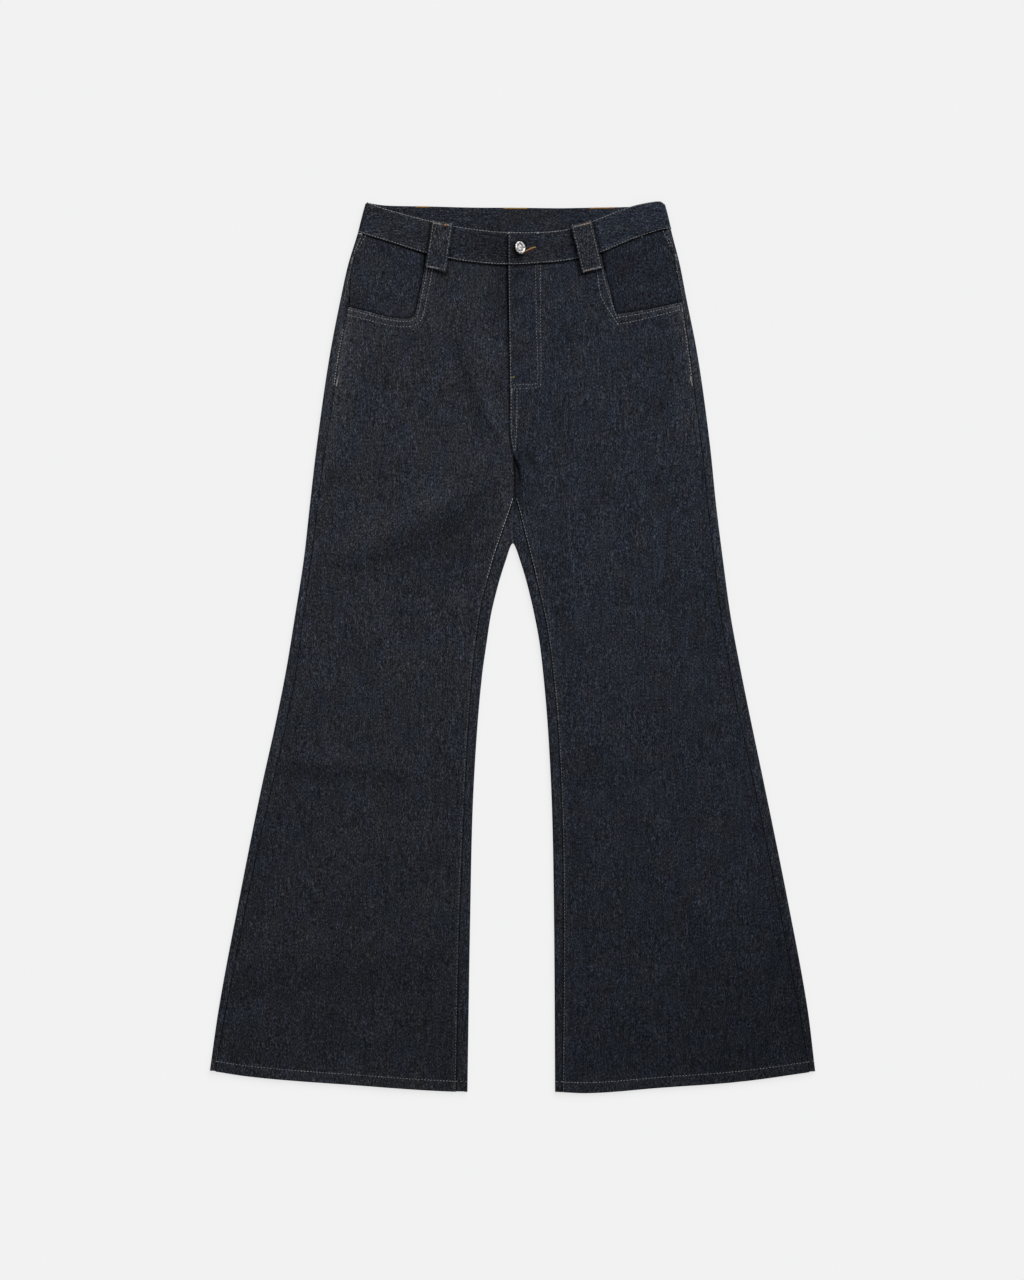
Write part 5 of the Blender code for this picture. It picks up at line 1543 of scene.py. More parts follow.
    def inner_net(self, back: Array, front: Array) -> Net:
        """From the inner edge of the underside, round it, to the inseam on the front."""
        leg, sign = self.leg, self.leg.sign
        half = sign * HALF_GAP
        angles = np.linspace(0.0, np.pi, self.roll + 1)
        parts = spread(self.strip + 4, 0.5)[1:]
        rows = []
        for back_down, front_down in zip(back, front):
            spot, inward = self.fold(float(back_down))
            radius = float(EDGE_RADIUS(back_down))
            offset = radius * (1.0 - np.sin(angles))
            x, d = spot.across + inward[0] * offset, spot.down + inward[1] * offset
            end = Spot(float(INSEAM[leg](front_down)) - half, front_down)
            if back_down <= APEX_DOWN + AT_APEX:
                x = np.full(offset.shape, CENTRE_BACK + sign * CLOSED)
                end = Spot(CROTCH_ACROSS + half, front_down + HALF_GAP)
            rows.append((
                np.concatenate([x, between(x[-1], end.across, parts)]),
                np.concatenate([d, between(d[-1], end.down, parts)]),
                np.concatenate([radius * (1.0 - np.cos(angles)), np.full(parts.size, math.nan)]),
            ))
        across, down, height = (np.array(grid) for grid in zip(*rows))
        strip = slice(self.roll, None)
        read_at = across[:, strip].copy()
        read_at[0] += sign * 0.2
        over = self.shop.form(f"back_{leg.word}").heights(read_at, down[:, strip], low=UPPER_LAYER)
        over[:, 0] = height[:, self.roll]
        height[:, strip] = over
        net = Net(across, down, height)
        seam = np.hypot(across - across[:, -1:], down - down[:, -1:])
        net.height += turned_edge(seam)
        net.wear += 0.2 * fade(seam, 3.0)
        net.shade += 0.35 * fade(seam, 0.8)
        apart = np.hypot(across - CROTCH_ACROSS, 0.5 * (down - CROTCH_DOWN))
        net.shade += 0.22 * bell(apart, 9.0)
        return net

    def build(self) -> None:
        """Makes the back leg."""
        leg, hips = self.leg, self.hip_rows
        side, back, front = self.sections()
        nets = [self.main_net(side, back), self.inner_net(back[hips:], front[hips:])]
        for net in nets:
            net.wear += hem_wear(np.abs(HEM(net.across) - net.down))
        if leg is Leg.RIGHT:
            nets = [net.mirrored() for net in nets]
        self.shop.cloth(leg.back, nets, self.shop.finishes.backs[leg], f"back_{leg.word}")


@dataclass
class Yoke:
    """A back yoke, from the waistband to its seam, folded round the side."""

    shop: Workshop
    leg: Leg
    rows: int = 22
    strip: int = 8
    roll: int = 10
    flat: int = 56

    def build(self) -> None:
        """Makes the yoke."""
        leg, sign = self.leg, self.leg.sign
        form = self.shop.form(f"yoke_{leg.word}")
        shape = PanelShape(
            outer=lambda down: SIDE_EDGE[leg](down) - sign * EDGE_RADIUS(down),
            inner=lambda down: np.full(np.shape(down), CENTRE_BACK + sign * HALF_GAP),
            upper=under_back_band,
            lower=lambda across: yoke_seam(across) - HALF_GAP,
        )
        rows = spread(self.rows, 0.4)
        across, down = shape.net(rows, spread(self.flat, 0.35))
        height = np.maximum(soften(form.heights(across, down, Face.UNDER), 1.5, 2.0), 0.0)
        side, part = down[:, :1], rows[:, None]
        edge, radius = SIDE_EDGE[leg](side), EDGE_RADIUS(side)
        inset = OUTSEAM_INSET[leg](side) - HALF_GAP
        strip_across = edge - sign * between(inset, radius, spread(self.strip, 0.4)[None, :])
        strip_down = between(under_band(strip_across), side[-1, 0], part)
        strip_height = form.heights(strip_across, strip_down, low=UPPER_LAYER)
        strip_height[:, -1:] = 2.0 * radius
        roll_across, roll_height = roll_round(edge, radius, sign, self.roll)
        ahead = between(under_band(roll_across), side[-1, 0], part)
        roll_down = between(side, ahead, roll_height / (2.0 * radius))
        net = Net.side_by_side(
            (strip_across, strip_down, strip_height), (roll_across, roll_down, roll_height),
            (across, down, height))
        seam = np.abs(net.across - strip_across[:, :1])
        seam[:, self.strip + 2:] = FAR
        net.height += turned_edge(seam)
        low = np.abs(net.down - net.down[-1:, :])
        net.wear += 0.3 * fade(low, 2.0) + 0.7 * fade(seam, 6.0)
        if leg is Leg.RIGHT:
            net = net.mirrored()
        self.shop.cloth(leg.yoke, [net], self.shop.finishes.backs[leg], f"yoke_{leg.word}")


# ---- pockets
@dataclass
class PocketFacing:
    """The denim that shows inside a pocket scoop."""

    shop: Workshop
    leg: Leg
    rows: int = 44
    columns: int = 44

    def build(self) -> None:
        """Makes the facing."""
        leg, word, sign = self.leg, self.leg.word, self.leg.sign
        edge = [spot for part in SCOOPS[leg] for spot in part]
        upright = curve_of(edge[:5], "down", "across")
        level = [row for row in edge if abs(row.across) > abs(edge[5].across)]
        lower = curve_of(sorted(level, key=lambda row: row.across), "across", "down")
        shape = PanelShape(
            outer=lambda down: outseam(leg, down) - sign * HALF_GAP,
            inner=lambda down: upright(down) - sign * FACING_MARGIN,
            upper=under_band,
            lower=lambda across: lower(across) + FACING_MARGIN,
        )
        across, down = shape.net(spread(self.rows, 0.6), spread(self.columns, 0.4))
        height = soften(self.shop.form(f"pocket_facing_{word}").heights(across, down), 3.0, 3.0)
        net = Net(across, down, height)
        relief = relief_of(FACING_CREASES, across, down) * 0.8
        net.height += relief
        # Ridges worn and given a painted highlight, hollows given painted shade.
        net.wear += 0.12 * np.maximum(relief, 0.0)
        net.shade += 0.14 * np.maximum(-relief, 0.0)
        side = np.abs(outseam(leg, down) - across)
        top = np.abs(down - FRONT_BAND_SEAM(across) - BAND_GAP)
        scoop = distance_to(scoop_line(leg, 3.0), across, down)
        net.height += turned_edge(side) + turned_edge(top)
        net.shade += 0.9 * bell(scoop, 1.8) + 0.9 * bell(top, 1.4)
        net.shade += 0.16 * fade(scoop, 7.0)
        net.shade += 0.3 * bell(side, 1.4)
        shade_loops(net, LOOP_EDGES[leg], 0.5)
        net.wear += 0.25 * fade(side, 3.0)
        if leg is Leg.LEFT:
            net = net.mirrored()
        self.shop.cloth(
            f"facing_{word}", [net], self.shop.finishes.facings[leg], f"pocket_facing_{word}",
            rests_on=[f"back_{word}"])


@dataclass
class BackPocket:
    """A plain patch pocket with a pointed end, under the back leg."""

    shop: Workshop
    leg: Leg
    inner: float = 40.0
    outer: float = 180.0
    top: float = 132.0
    end: float = 284.0
    taper: float = 8.0
    point: float = 16.0
    rows: int = 60
    columns: int = 56

    def outline(self, inset: float) -> Array:
        """The pocket's sides and point, from the top of one side to that of the other."""
        middle = 0.5 * (self.inner + self.outer)
        sign = self.leg.sign
        corners = (
            (self.inner + inset, self.top),
            (self.inner + self.taper + inset, self.end - self.point - 0.9 * inset),
            (middle, self.end - 1.05 * inset),
            (self.outer - self.taper - inset, self.end - self.point - 0.9 * inset),
            (self.outer - inset, self.top),
        )
        return np.array([(sign * across, down) for across, down in corners])

    def build(self) -> None:
        """Makes the pocket."""
        leg, word = self.leg, self.leg.word
        parts = spread(self.columns, 0.3)[None, :]
        rows = spread(self.rows, 0.35)[:, None]
        middle = 0.5 * (self.inner + self.outer)
        half = 0.5 * (self.outer - self.inner) - self.taper * np.minimum(rows * 1.08, 1.0)
        across = middle + half * (2.0 * parts - 1.0)
        floor = self.end - self.point * np.abs(2.0 * parts - 1.0)
        net = Net(leg.sign * across, between(self.top, floor, rows), 0.0)
        side = np.minimum(parts, 1.0 - parts) * 2.0 * half
        low = (1.0 - rows) * (floor - self.top)
        high = rows * (floor - self.top)
        edge = np.minimum(np.minimum(side, low), high)
        net.height -= turned_edge(edge, 0.4, 1.0)
        net.wear += 0.6 * fade(edge, 1.2) + 0.35 * doubled(edge, 9.0, 0.6)
        if leg is Leg.LEFT:
            net = net.mirrored()
        self.shop.cloth(f"patch_pocket_{word}", [net], self.shop.finishes.backs[leg], f"back_pocket_{word}")


# ---- waistband
@dataclass
class Waistband:
    """The waistband, one strip that laps over itself at the button."""

    shop: Workshop
    width_cells: int = 22
    front_cells: int = 130
    back_cells: int = 150
    roll: int = 12

    @staticmethod
    def edges(table: Sequence[BandRow]) -> dict[str, Curve]:
        """The band's edges along it."""
        return {name: curve_of(table, "spot", name) for name in BandRow._fields[1:]}

    def cuts(self, table: Sequence[BandRow], spots_along: Array) -> tuple[Array, Array]:
        """Points across the band at some spots along it."""
        part = spread(self.width_cells, 0.4)[None, :]
        ends = [edge(spots_along)[:, None] for edge in self.edges(table).values()]
        return between(ends[0], ends[2], part), between(ends[1], ends[3], part)

    def run(self, table: Sequence[BandRow], start: float, end: float, cells: int) -> Array:
        """Spots along the band, between the two where its top edge is so far across."""
        places = np.linspace(0.0, table[-1].spot, 4001)
        across = self.edges(table)["top_across"](places)
        return np.linspace(*(float(np.interp(at, across, places)) for at in (start, end)), cells + 1)

    def fold(self, spot: float, sign: float, radius: float, upwards: bool) -> Net:
        """The band's turn round the side."""
        across, down = self.cuts(FRONT_BAND, np.array([spot]))
        angle = np.linspace(0.0, np.pi, self.roll + 1)[1:-1, None]
        if not upwards:
            angle = angle[::-1]
        offset = radius * (1.0 - np.sin(angle))
        return Net(across - sign * offset, np.repeat(down, len(angle), 0), radius * (1.0 - np.cos(angle)))

    def laid_out(self) -> tuple[Net, int, int]:
        """The band's net, and how many of its rows lie on the front at its start and at its end."""
        form = self.shop.form("waistband")
        radius = float(EDGE_RADIUS(0.0)) + 0.3
        right, left = FRONT_BAND[0], FRONT_BAND[-1]
        first, last = right.top_across + radius, left.top_across - radius
        right_run = self.run(FRONT_BAND, BAND_UNDERLAP_EDGE, first, self.front_cells)
        left_run = self.run(FRONT_BAND, last, FLY_EDGE, self.front_cells)
        back_run = self.run(BACK_BAND, first, last, self.back_cells)

        across, down = self.cuts(FRONT_BAND, right_run)
        over = form.heights(across, down)
        hidden = form.heights(across, down, Face.UP, 2)
        lapped = smooth((across - FLY_EDGE + 0.8) / 0.8)
        height = between(over, np.minimum(hidden, over - BAND_CLOTH), lapped)
        front_right = Net(across, down, soften(height, 3.0, 1.5))
        across, down = self.cuts(FRONT_BAND, left_run)
        front_left = Net(across, down, soften(form.heights(across, down), 3.0, 1.5))
        for net in (front_right, front_left):
            net.height += relief_of(BAND_CREASES, net.across, net.down)
        across, down = self.cuts(BACK_BAND, back_run)
        under = np.maximum(soften(form.heights(across, down, Face.UNDER), 2.0, 1.5), 0.0)
        parts = [
            front_right, self.fold(right.spot, -1.0, radius, False), Net(across, down, under),
            self.fold(left.spot, 1.0, radius, True), front_left,
        ]
        keys = ("across", "down", "height")
        grids = (np.concatenate([getattr(part, key) for part in parts]) for key in keys)
        return Net(*grids), len(right_run), len(left_run)

    def build(self) -> Net:
        """Makes the band."""
        net, started, ended = self.laid_out()
        part = spread(self.width_cells, 0.4)[None, :]
        edge = np.minimum(part, 1.0 - part) * BAND_WIDTH
        front = np.zeros((net.across.shape[0], 1))
        front[:started] = 1.0
        front[-ended:] = 1.0
        net.height += turned_edge(edge, 0.7, 1.5) * front
        net.height += 0.25 * (smooth((6.0 - edge) / 3.0)) * front
        end = np.abs(net.across - net.across[-1:, :])
        end[:-ended] = FAR
        net.height += turned_edge(end, 0.8, 1.6)
        reach = np.minimum(net.across - FRONT_BAND[0].top_across, FRONT_BAND[-1].top_across - net.across)
        net.down += 2.6 * np.clip(1.0 - reach / 6.0, 0.0, 1.0) ** 2 * (1.0 - part) ** 3
        button = np.hypot(net.across - BUTTON.across, net.down - BUTTON.down) - 6.6
        net.shade += 1.05 * bell(button, 2.3) * front
        right = (net.across < FLY_EDGE) * front
        net.shade += 0.7 * bell(net.across - FLY_EDGE, 1.8) * right
        shade_loops(net, (*LOOP_EDGES[Leg.RIGHT][:2], *LOOP_EDGES[Leg.LEFT][:2]), 0.55, front)
        net.shade += 0.30 * patch(net, Spot(-19.0, 56.0), Spot(15.0, 20.0)) * right
        net.shade += 0.5 * fade((1.0 - part) * BAND_WIDTH, 0.7) * front
        net.wear += 0.9 * fade(part * BAND_WIDTH, 1.1) + 0.6 * fade((1.0 - part) * BAND_WIDTH, 1.5)
        net.wear += 0.24 * smooth((-50.0 - net.across) / 40.0) * front
        net.shade += 0.05 * smooth((net.across - 50.0) / 40.0) * front
        net.wear += 1.0 * fade(end, 1.3) + 0.15 * smooth((7.0 - edge) / 3.0)
        self.shop.cloth("waist_band", [net], self.shop.finishes.band, "waistband", thickness=BAND_CLOTH)
        return net


# ---- belt loops
@dataclass
class BeltLoop:
    """A belt loop: denim folded in three, with its ends turned under."""

    shop: Workshop
    node: str
    start: Spot
    end: Spot
    face: Face
    width: float = 24.6
    skew: float = 0.0
    rows: int = 40
    around: int = 32
    turn: float = 8.0

    def heights(self, line: Array) -> Array:
        """The height of its outer face along its length."""
        form = self.shop.form(self.node)
        found = np.array([form.height_at(x, d, self.face) for x, d in line])
        return soften(carry_on(found[None, :]), 0.0, 1.6)[0]

    def build(self) -> tuple[Array, Array]:
        """Makes the loop.

        Returns:
            The points of its middle line on the outer face, and the direction across it.
        """
        start, end = np.array(self.start), np.array(self.end)
        length = float(np.hypot(*(end - start)))
        part = spread(self.rows, 0.35)
        inner = np.clip(part, 0.012, 0.988)[:, None]
        line = start + (end - start) * part[:, None]
        outer = self.heights(start + (end - start) * inner)
        near_end = np.minimum(part, 1.0 - part) * length
        thick = LOOP_CLOTH + 0.9 * smooth((self.turn - near_end) / 2.0)
        dip = turned_edge(near_end, 0.7, 1.4)
        along = (end - start) / length
        aside = np.array([along[1], -along[0]])
        angle = np.linspace(0.0, 2.0 * np.pi, self.around, endpoint=False)
        wide = np.sign(np.cos(angle)) * np.abs(np.cos(angle)) ** 0.22
        tall = np.sign(np.sin(angle)) * np.abs(np.sin(angle)) ** 0.4
        swell = 0.16 * np.cos(3.0 * np.pi * wide) * np.maximum(tall, 0.0)
        up = self.face.value
        rings = []
        for i, (spot, top) in enumerate(zip(line, outer)):
            waist = self.width * 0.5 * (1.0 - 0.025 * np.sin(math.pi * part[i]))
            height = top - up * 0.5 * thick[i] + up * ((0.5 * thick[i] + dip[i]) * tall + swell)
            offset = waist * wide
            shift = along * (offset * self.skew * smooth(2.0 * part[i] - 1.0))[:, None]
            ring = spot + aside * offset[:, None] + shift
            rings.append(place(ring[:, 0], ring[:, 1], height))
        mesh = tube_of_rings(self.node, rings)
        mesh.materials.append(self.shop.finishes.loop)
        obj = self.shop.piece(self.node.replace("belt_loop", "loop"), mesh, "denim")
        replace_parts(obj, self.node)
        flat_length = (length + 2.0 * self.turn) * MM
        self.width * MM * 1.06
        flat_length * 0.86
        return place(line[:, 0], line[:, 1], outer), np.array([aside[0], -aside[1], 0.0])


def tube_of_rings(name: str, rings: Sequence[Array]) -> Mesh:
    """A closed mesh through rings of points, with a face over each end, worn at its rims."""
    count = len(rings[0])
    mesh = bpy.data.meshes.new(name)
    made = bmesh.new()
    verts = [[made.verts.new(point) for point in ring] for ring in rings]
    for one, two in zip(verts, verts[1:]):
        for i in range(count):
            made.faces.new((one[i], one[(i + 1) % count], two[(i + 1) % count], two[i]))
    for ring in (verts[0], verts[-1]):
        made.faces.new(ring)
    bmesh.ops.triangulate(made, faces=[face for face in made.faces if len(face.verts) > 4])
    bmesh.ops.recalc_face_normals(made, faces=made.faces)
    close_mesh(made, mesh)
    for key in ("wear", "shade", "pucker"):
        mesh.attributes.new(key, "FLOAT", "POINT")
    rim = np.abs(np.cos(np.linspace(0.0, 2.0 * np.pi, count, endpoint=False))) ** 0.28
    number = np.arange(len(rings))
    near = np.minimum(number, len(rings) - 1 - number)[:, None]
    wear = 0.9 * (rim > 0.95)[None, :] + 1.1 * fade(near, 1.6)
    mesh.attributes["wear"].data.foreach_set("value", wear.ravel().astype(np.float32))
    return mesh


BACK_LOOPS = {"right": -107.0, "centre": 4.0, "left": 108.0}
BACK_LOOP_TOP = 8.6
BACK_LOOP_END = 62.0


# ---- sewing
@dataclass(frozen=True)
class StitchKind:
    """The sizes of one kind of stitch, in millimetres."""

    pitch: float
    length: float
    width: float
    thick: float
    uneven: float = 0.12


TOPSTITCH = StitchKind(3.7, 2.6, 0.62, 0.45)
BAND_STITCH = StitchKind(3.5, 2.7, 0.66, 0.46)
SEAM_STITCH = StitchKind(3.7, 2.4, 0.38, 0.4)
FINE_STITCH = StitchKind(3.7, 2.2, 0.28, 0.36)
HEM_STITCH = StitchKind(3.7, 2.3, 0.5, 0.42)
HIP_STITCH = StitchKind(3.2, 2.0, 0.75, 0.6)
BARTACK = StitchKind(0.55, 0.5, 1.9, 0.5)
LOOP_BARTACK = StitchKind(0.8, 0.5, 2.4, 0.4, 0.4)
PURL = StitchKind(0.6, 0.6, 2.0, 0.8)
ZIP_TOOTH = StitchKind(2.0, 1.1, 4.4, 0.86, 0.0)


class StitchTree:
    """Geometry Nodes that set stitches along lines."""

    SIZES = ("Pitch", "Length", "Width", "Thickness", "Unevenness")

    def __init__(self) -> None:
        """Builds the tree."""
        self.tree = bpy.data.node_groups.new("stitches_along_lines", "GeometryNodeTree")
        face = self.tree.interface
        kinds = {"Geometry": "Geometry", **dict.fromkeys(self.SIZES, "Float")}
        for name, kind in {**kinds, "Seed": "Int", "Thread": "Material"}.items():
            face.new_socket(name, in_out="INPUT", socket_type=f"NodeSocket{kind}")
        face.new_socket("Geometry", in_out="OUTPUT", socket_type="NodeSocketGeometry")
        self.identifiers = {
            item.name: item.identifier for item in face.items_tree if item.in_out == "INPUT"
        }
        book = NodeBook(self.tree)
        given = book.add("NodeGroupInput")
        out = {socket.name: socket for socket in given.outputs}
        curve = book.add("GeometryNodeMeshToCurve", Mesh=out["Geometry"])
        level = book.add("GeometryNodeSetCurveNormal", {"mode": "Z_UP"}, Curve=curve.outputs[0])
        points = book.add(
            "GeometryNodeCurveToPoints", {"mode": "LENGTH"}, Curve=level.outputs[0],
            Length=out["Pitch"])
        bead = book.add("GeometryNodeMeshUVSphere", Segments=6, Rings=4, Radius=0.5)
        size = book.add("ShaderNodeCombineXYZ", X=out["Width"], Y=out["Thickness"], Z=out["Length"])
        most = book.value(given, self.identifiers["Unevenness"])
        jitter = book.add(
            "FunctionNodeRandomValue", {"data_type": "FLOAT"}, Seed=out["Seed"],
            Min_001=1.0 - most, Max_001=1.0 + most)
        jittered = next(s for s in jitter.outputs if s.enabled and s.type == "VALUE")
        scaled = book.add(
            "ShaderNodeVectorMath", {"operation": "SCALE"}, Vector=size.outputs[0], Scale=jittered)
        placed = book.add(
            "GeometryNodeInstanceOnPoints", Points=points.outputs["Points"],
            Instance=bead.outputs["Mesh"], Rotation=points.outputs["Rotation"],
            Scale=scaled.outputs[0])
        real = book.add("GeometryNodeRealizeInstances", Geometry=placed.outputs[0])
        round_off = book.add("GeometryNodeSetShadeSmooth", Geometry=real.outputs[0])
        dressed = book.add(
            "GeometryNodeSetMaterial", Geometry=round_off.outputs[0], Material=out["Thread"])
        book.add("NodeGroupOutput", Geometry=dressed.outputs[0])

    def mesh(
        self, name: str, lines: Sequence[Array], kind: StitchKind, thread: Material, seed: int
    ) -> Mesh:
        """The stitches along some lines, as one plain mesh.

        Args:
            name: the mesh's name.
            lines: points in metres along each line.
            kind: the stitch's sizes.
            thread: the finish.
            seed: the seed of its unevenness.
        """
        points = np.concatenate(lines)
        starts = np.cumsum([0] + [len(line) for line in lines[:-1]])
        firsts = [int(start) + i for start, line in zip(starts, lines) for i in range(len(line) - 1)]
        guide = bpy.data.meshes.new(f"{name}_lines")
        guide.from_pydata(points.tolist(), [(i, i + 1) for i in firsts], [])
        obj = new_object(f"{name}_lines", guide)
        nodes = obj.modifiers.new("stitches", "NODES")
        nodes.node_group = self.tree
        sizes = (kind.pitch * MM, kind.length * MM, kind.width * MM, kind.thick * MM, kind.uneven)
        for label, value in zip((*self.SIZES, "Seed", "Thread"), (*sizes, seed, thread)):
            nodes[self.identifiers[label]] = value
        graph = bpy.context.evaluated_depsgraph_get()
        mesh = bpy.data.meshes.new_from_object(obj.evaluated_get(graph))
        mesh.name = name
        mesh.materials.clear()
        mesh.materials.append(thread)
        mesh.polygons.foreach_set("material_index", [0] * len(mesh.polygons))
        obj.modifiers.remove(nodes)
        bpy.data.objects.remove(obj, do_unlink=True)
        bpy.data.meshes.remove(guide)
        return mesh


@dataclass
class Sewing:
    """All stitches of the jeans, gathered line by line and made at the end."""

    shop: Workshop
    tree: StitchTree = field(default_factory=StitchTree)
    lines: dict[tuple[str, str, StitchKind], list[Array]] = field(default_factory=dict)
    surfaces: dict[str, BVHTree] = field(default_factory=dict)

    def lay(self, piece: str, path: Array, face: Face, lift: float = 0.08) -> list[Array]:
        """Lays a line on a piece that was made before.

        Args:
            piece: what it lies on.
            path: across and down of its points.
            face: the side that it lies on.
            lift: how far it stands off the cloth.

        Returns:
            The runs of points that met the piece, in metres.
        """
        if piece not in self.surfaces:
            self.surfaces[piece] = tree_of(bpy.data.objects[piece].data)
        runs = [[]]
        for across, down in path:
            x, y, _ = place(across, down, 0.0)
            start = Vector((x, y, ABOVE_ALL * face.value))
            hit, normal, *_ = self.surfaces[piece].ray_cast(start, Vector((0.0, 0.0, -face.value)))
            if hit is None or normal.z * face.value < 0.2:
                runs.append([])
            else:
                runs[-1].append((hit.x, hit.y, hit.z + face.value * lift * MM))
        return [np.array(run) for run in runs if len(run) > 1]

    def add(self, piece: str, thread: str, kind: StitchKind, runs: Sequence[Array]) -> None:
        """Adds lines to a piece of sewing."""
        self.lines.setdefault((piece, thread, kind), []).extend(runs)

    def stitch(
        self, piece: str, cloth: str, points: Sequence[Spot] | Array,
        face: Face = Face.UP, kind: StitchKind = TOPSTITCH, thread: str = "thread",
    ) -> None:
        """Sews along a line on a piece of cloth.

        Args:
            piece: the piece of sewing that it belongs to.
            cloth: what it is sewn to.
            points: where it goes.
            face: the side of the cloth.
            kind: the stitch.
            thread: the finish.
        """
        path = points if isinstance(points, Array) else smooth_path(points, STEP)
        self.add(piece, thread, kind, self.lay(cloth, path, face))

    def bartack(
        self, piece: str, cloth: str, middle: Spot, turn: float, length: float = 9.0,
        face: Face = Face.UP, thread: str = "thread", kind: StitchKind = BARTACK,
    ) -> None:
        """Sews a bartack, turned from the direction across the jeans, in degrees."""
        reach = 0.5 * length * np.array([math.cos(math.radians(turn)), -math.sin(math.radians(turn))])
        path = np.linspace(np.array(middle) - reach, np.array(middle) + reach, 9)
        self.add(piece, thread, kind, self.lay(cloth, path, face, 0.2))

    def build(self) -> None:
        """Makes every piece of sewing."""
        groups: dict[tuple[str, str], list[Mesh]] = {}
        for seed, ((piece, thread, kind), runs) in enumerate(self.lines.items()):
            if runs:
                mesh = self.tree.mesh(piece, runs, kind, self.shop.finishes.threads[thread], seed + 3)
                groups.setdefault((piece, thread), []).append(mesh)
        for (piece, thread), meshes in groups.items():
            slot = "bright_thread" if thread in ("bright_thread", "olive") else "thread"
            self.shop.piece(piece, joined(piece, meshes), slot)


def joined(name: str, meshes: Sequence[Mesh]) -> Mesh:
    """Several meshes of one finish as one."""
    made = bmesh.new()
    for mesh in meshes:
        made.from_mesh(mesh)
    result = bpy.data.meshes.new(name)
    result.materials.append(meshes[0].materials[0])
    close_mesh(made, result)
    for mesh in meshes:
        bpy.data.meshes.remove(mesh)
    return result


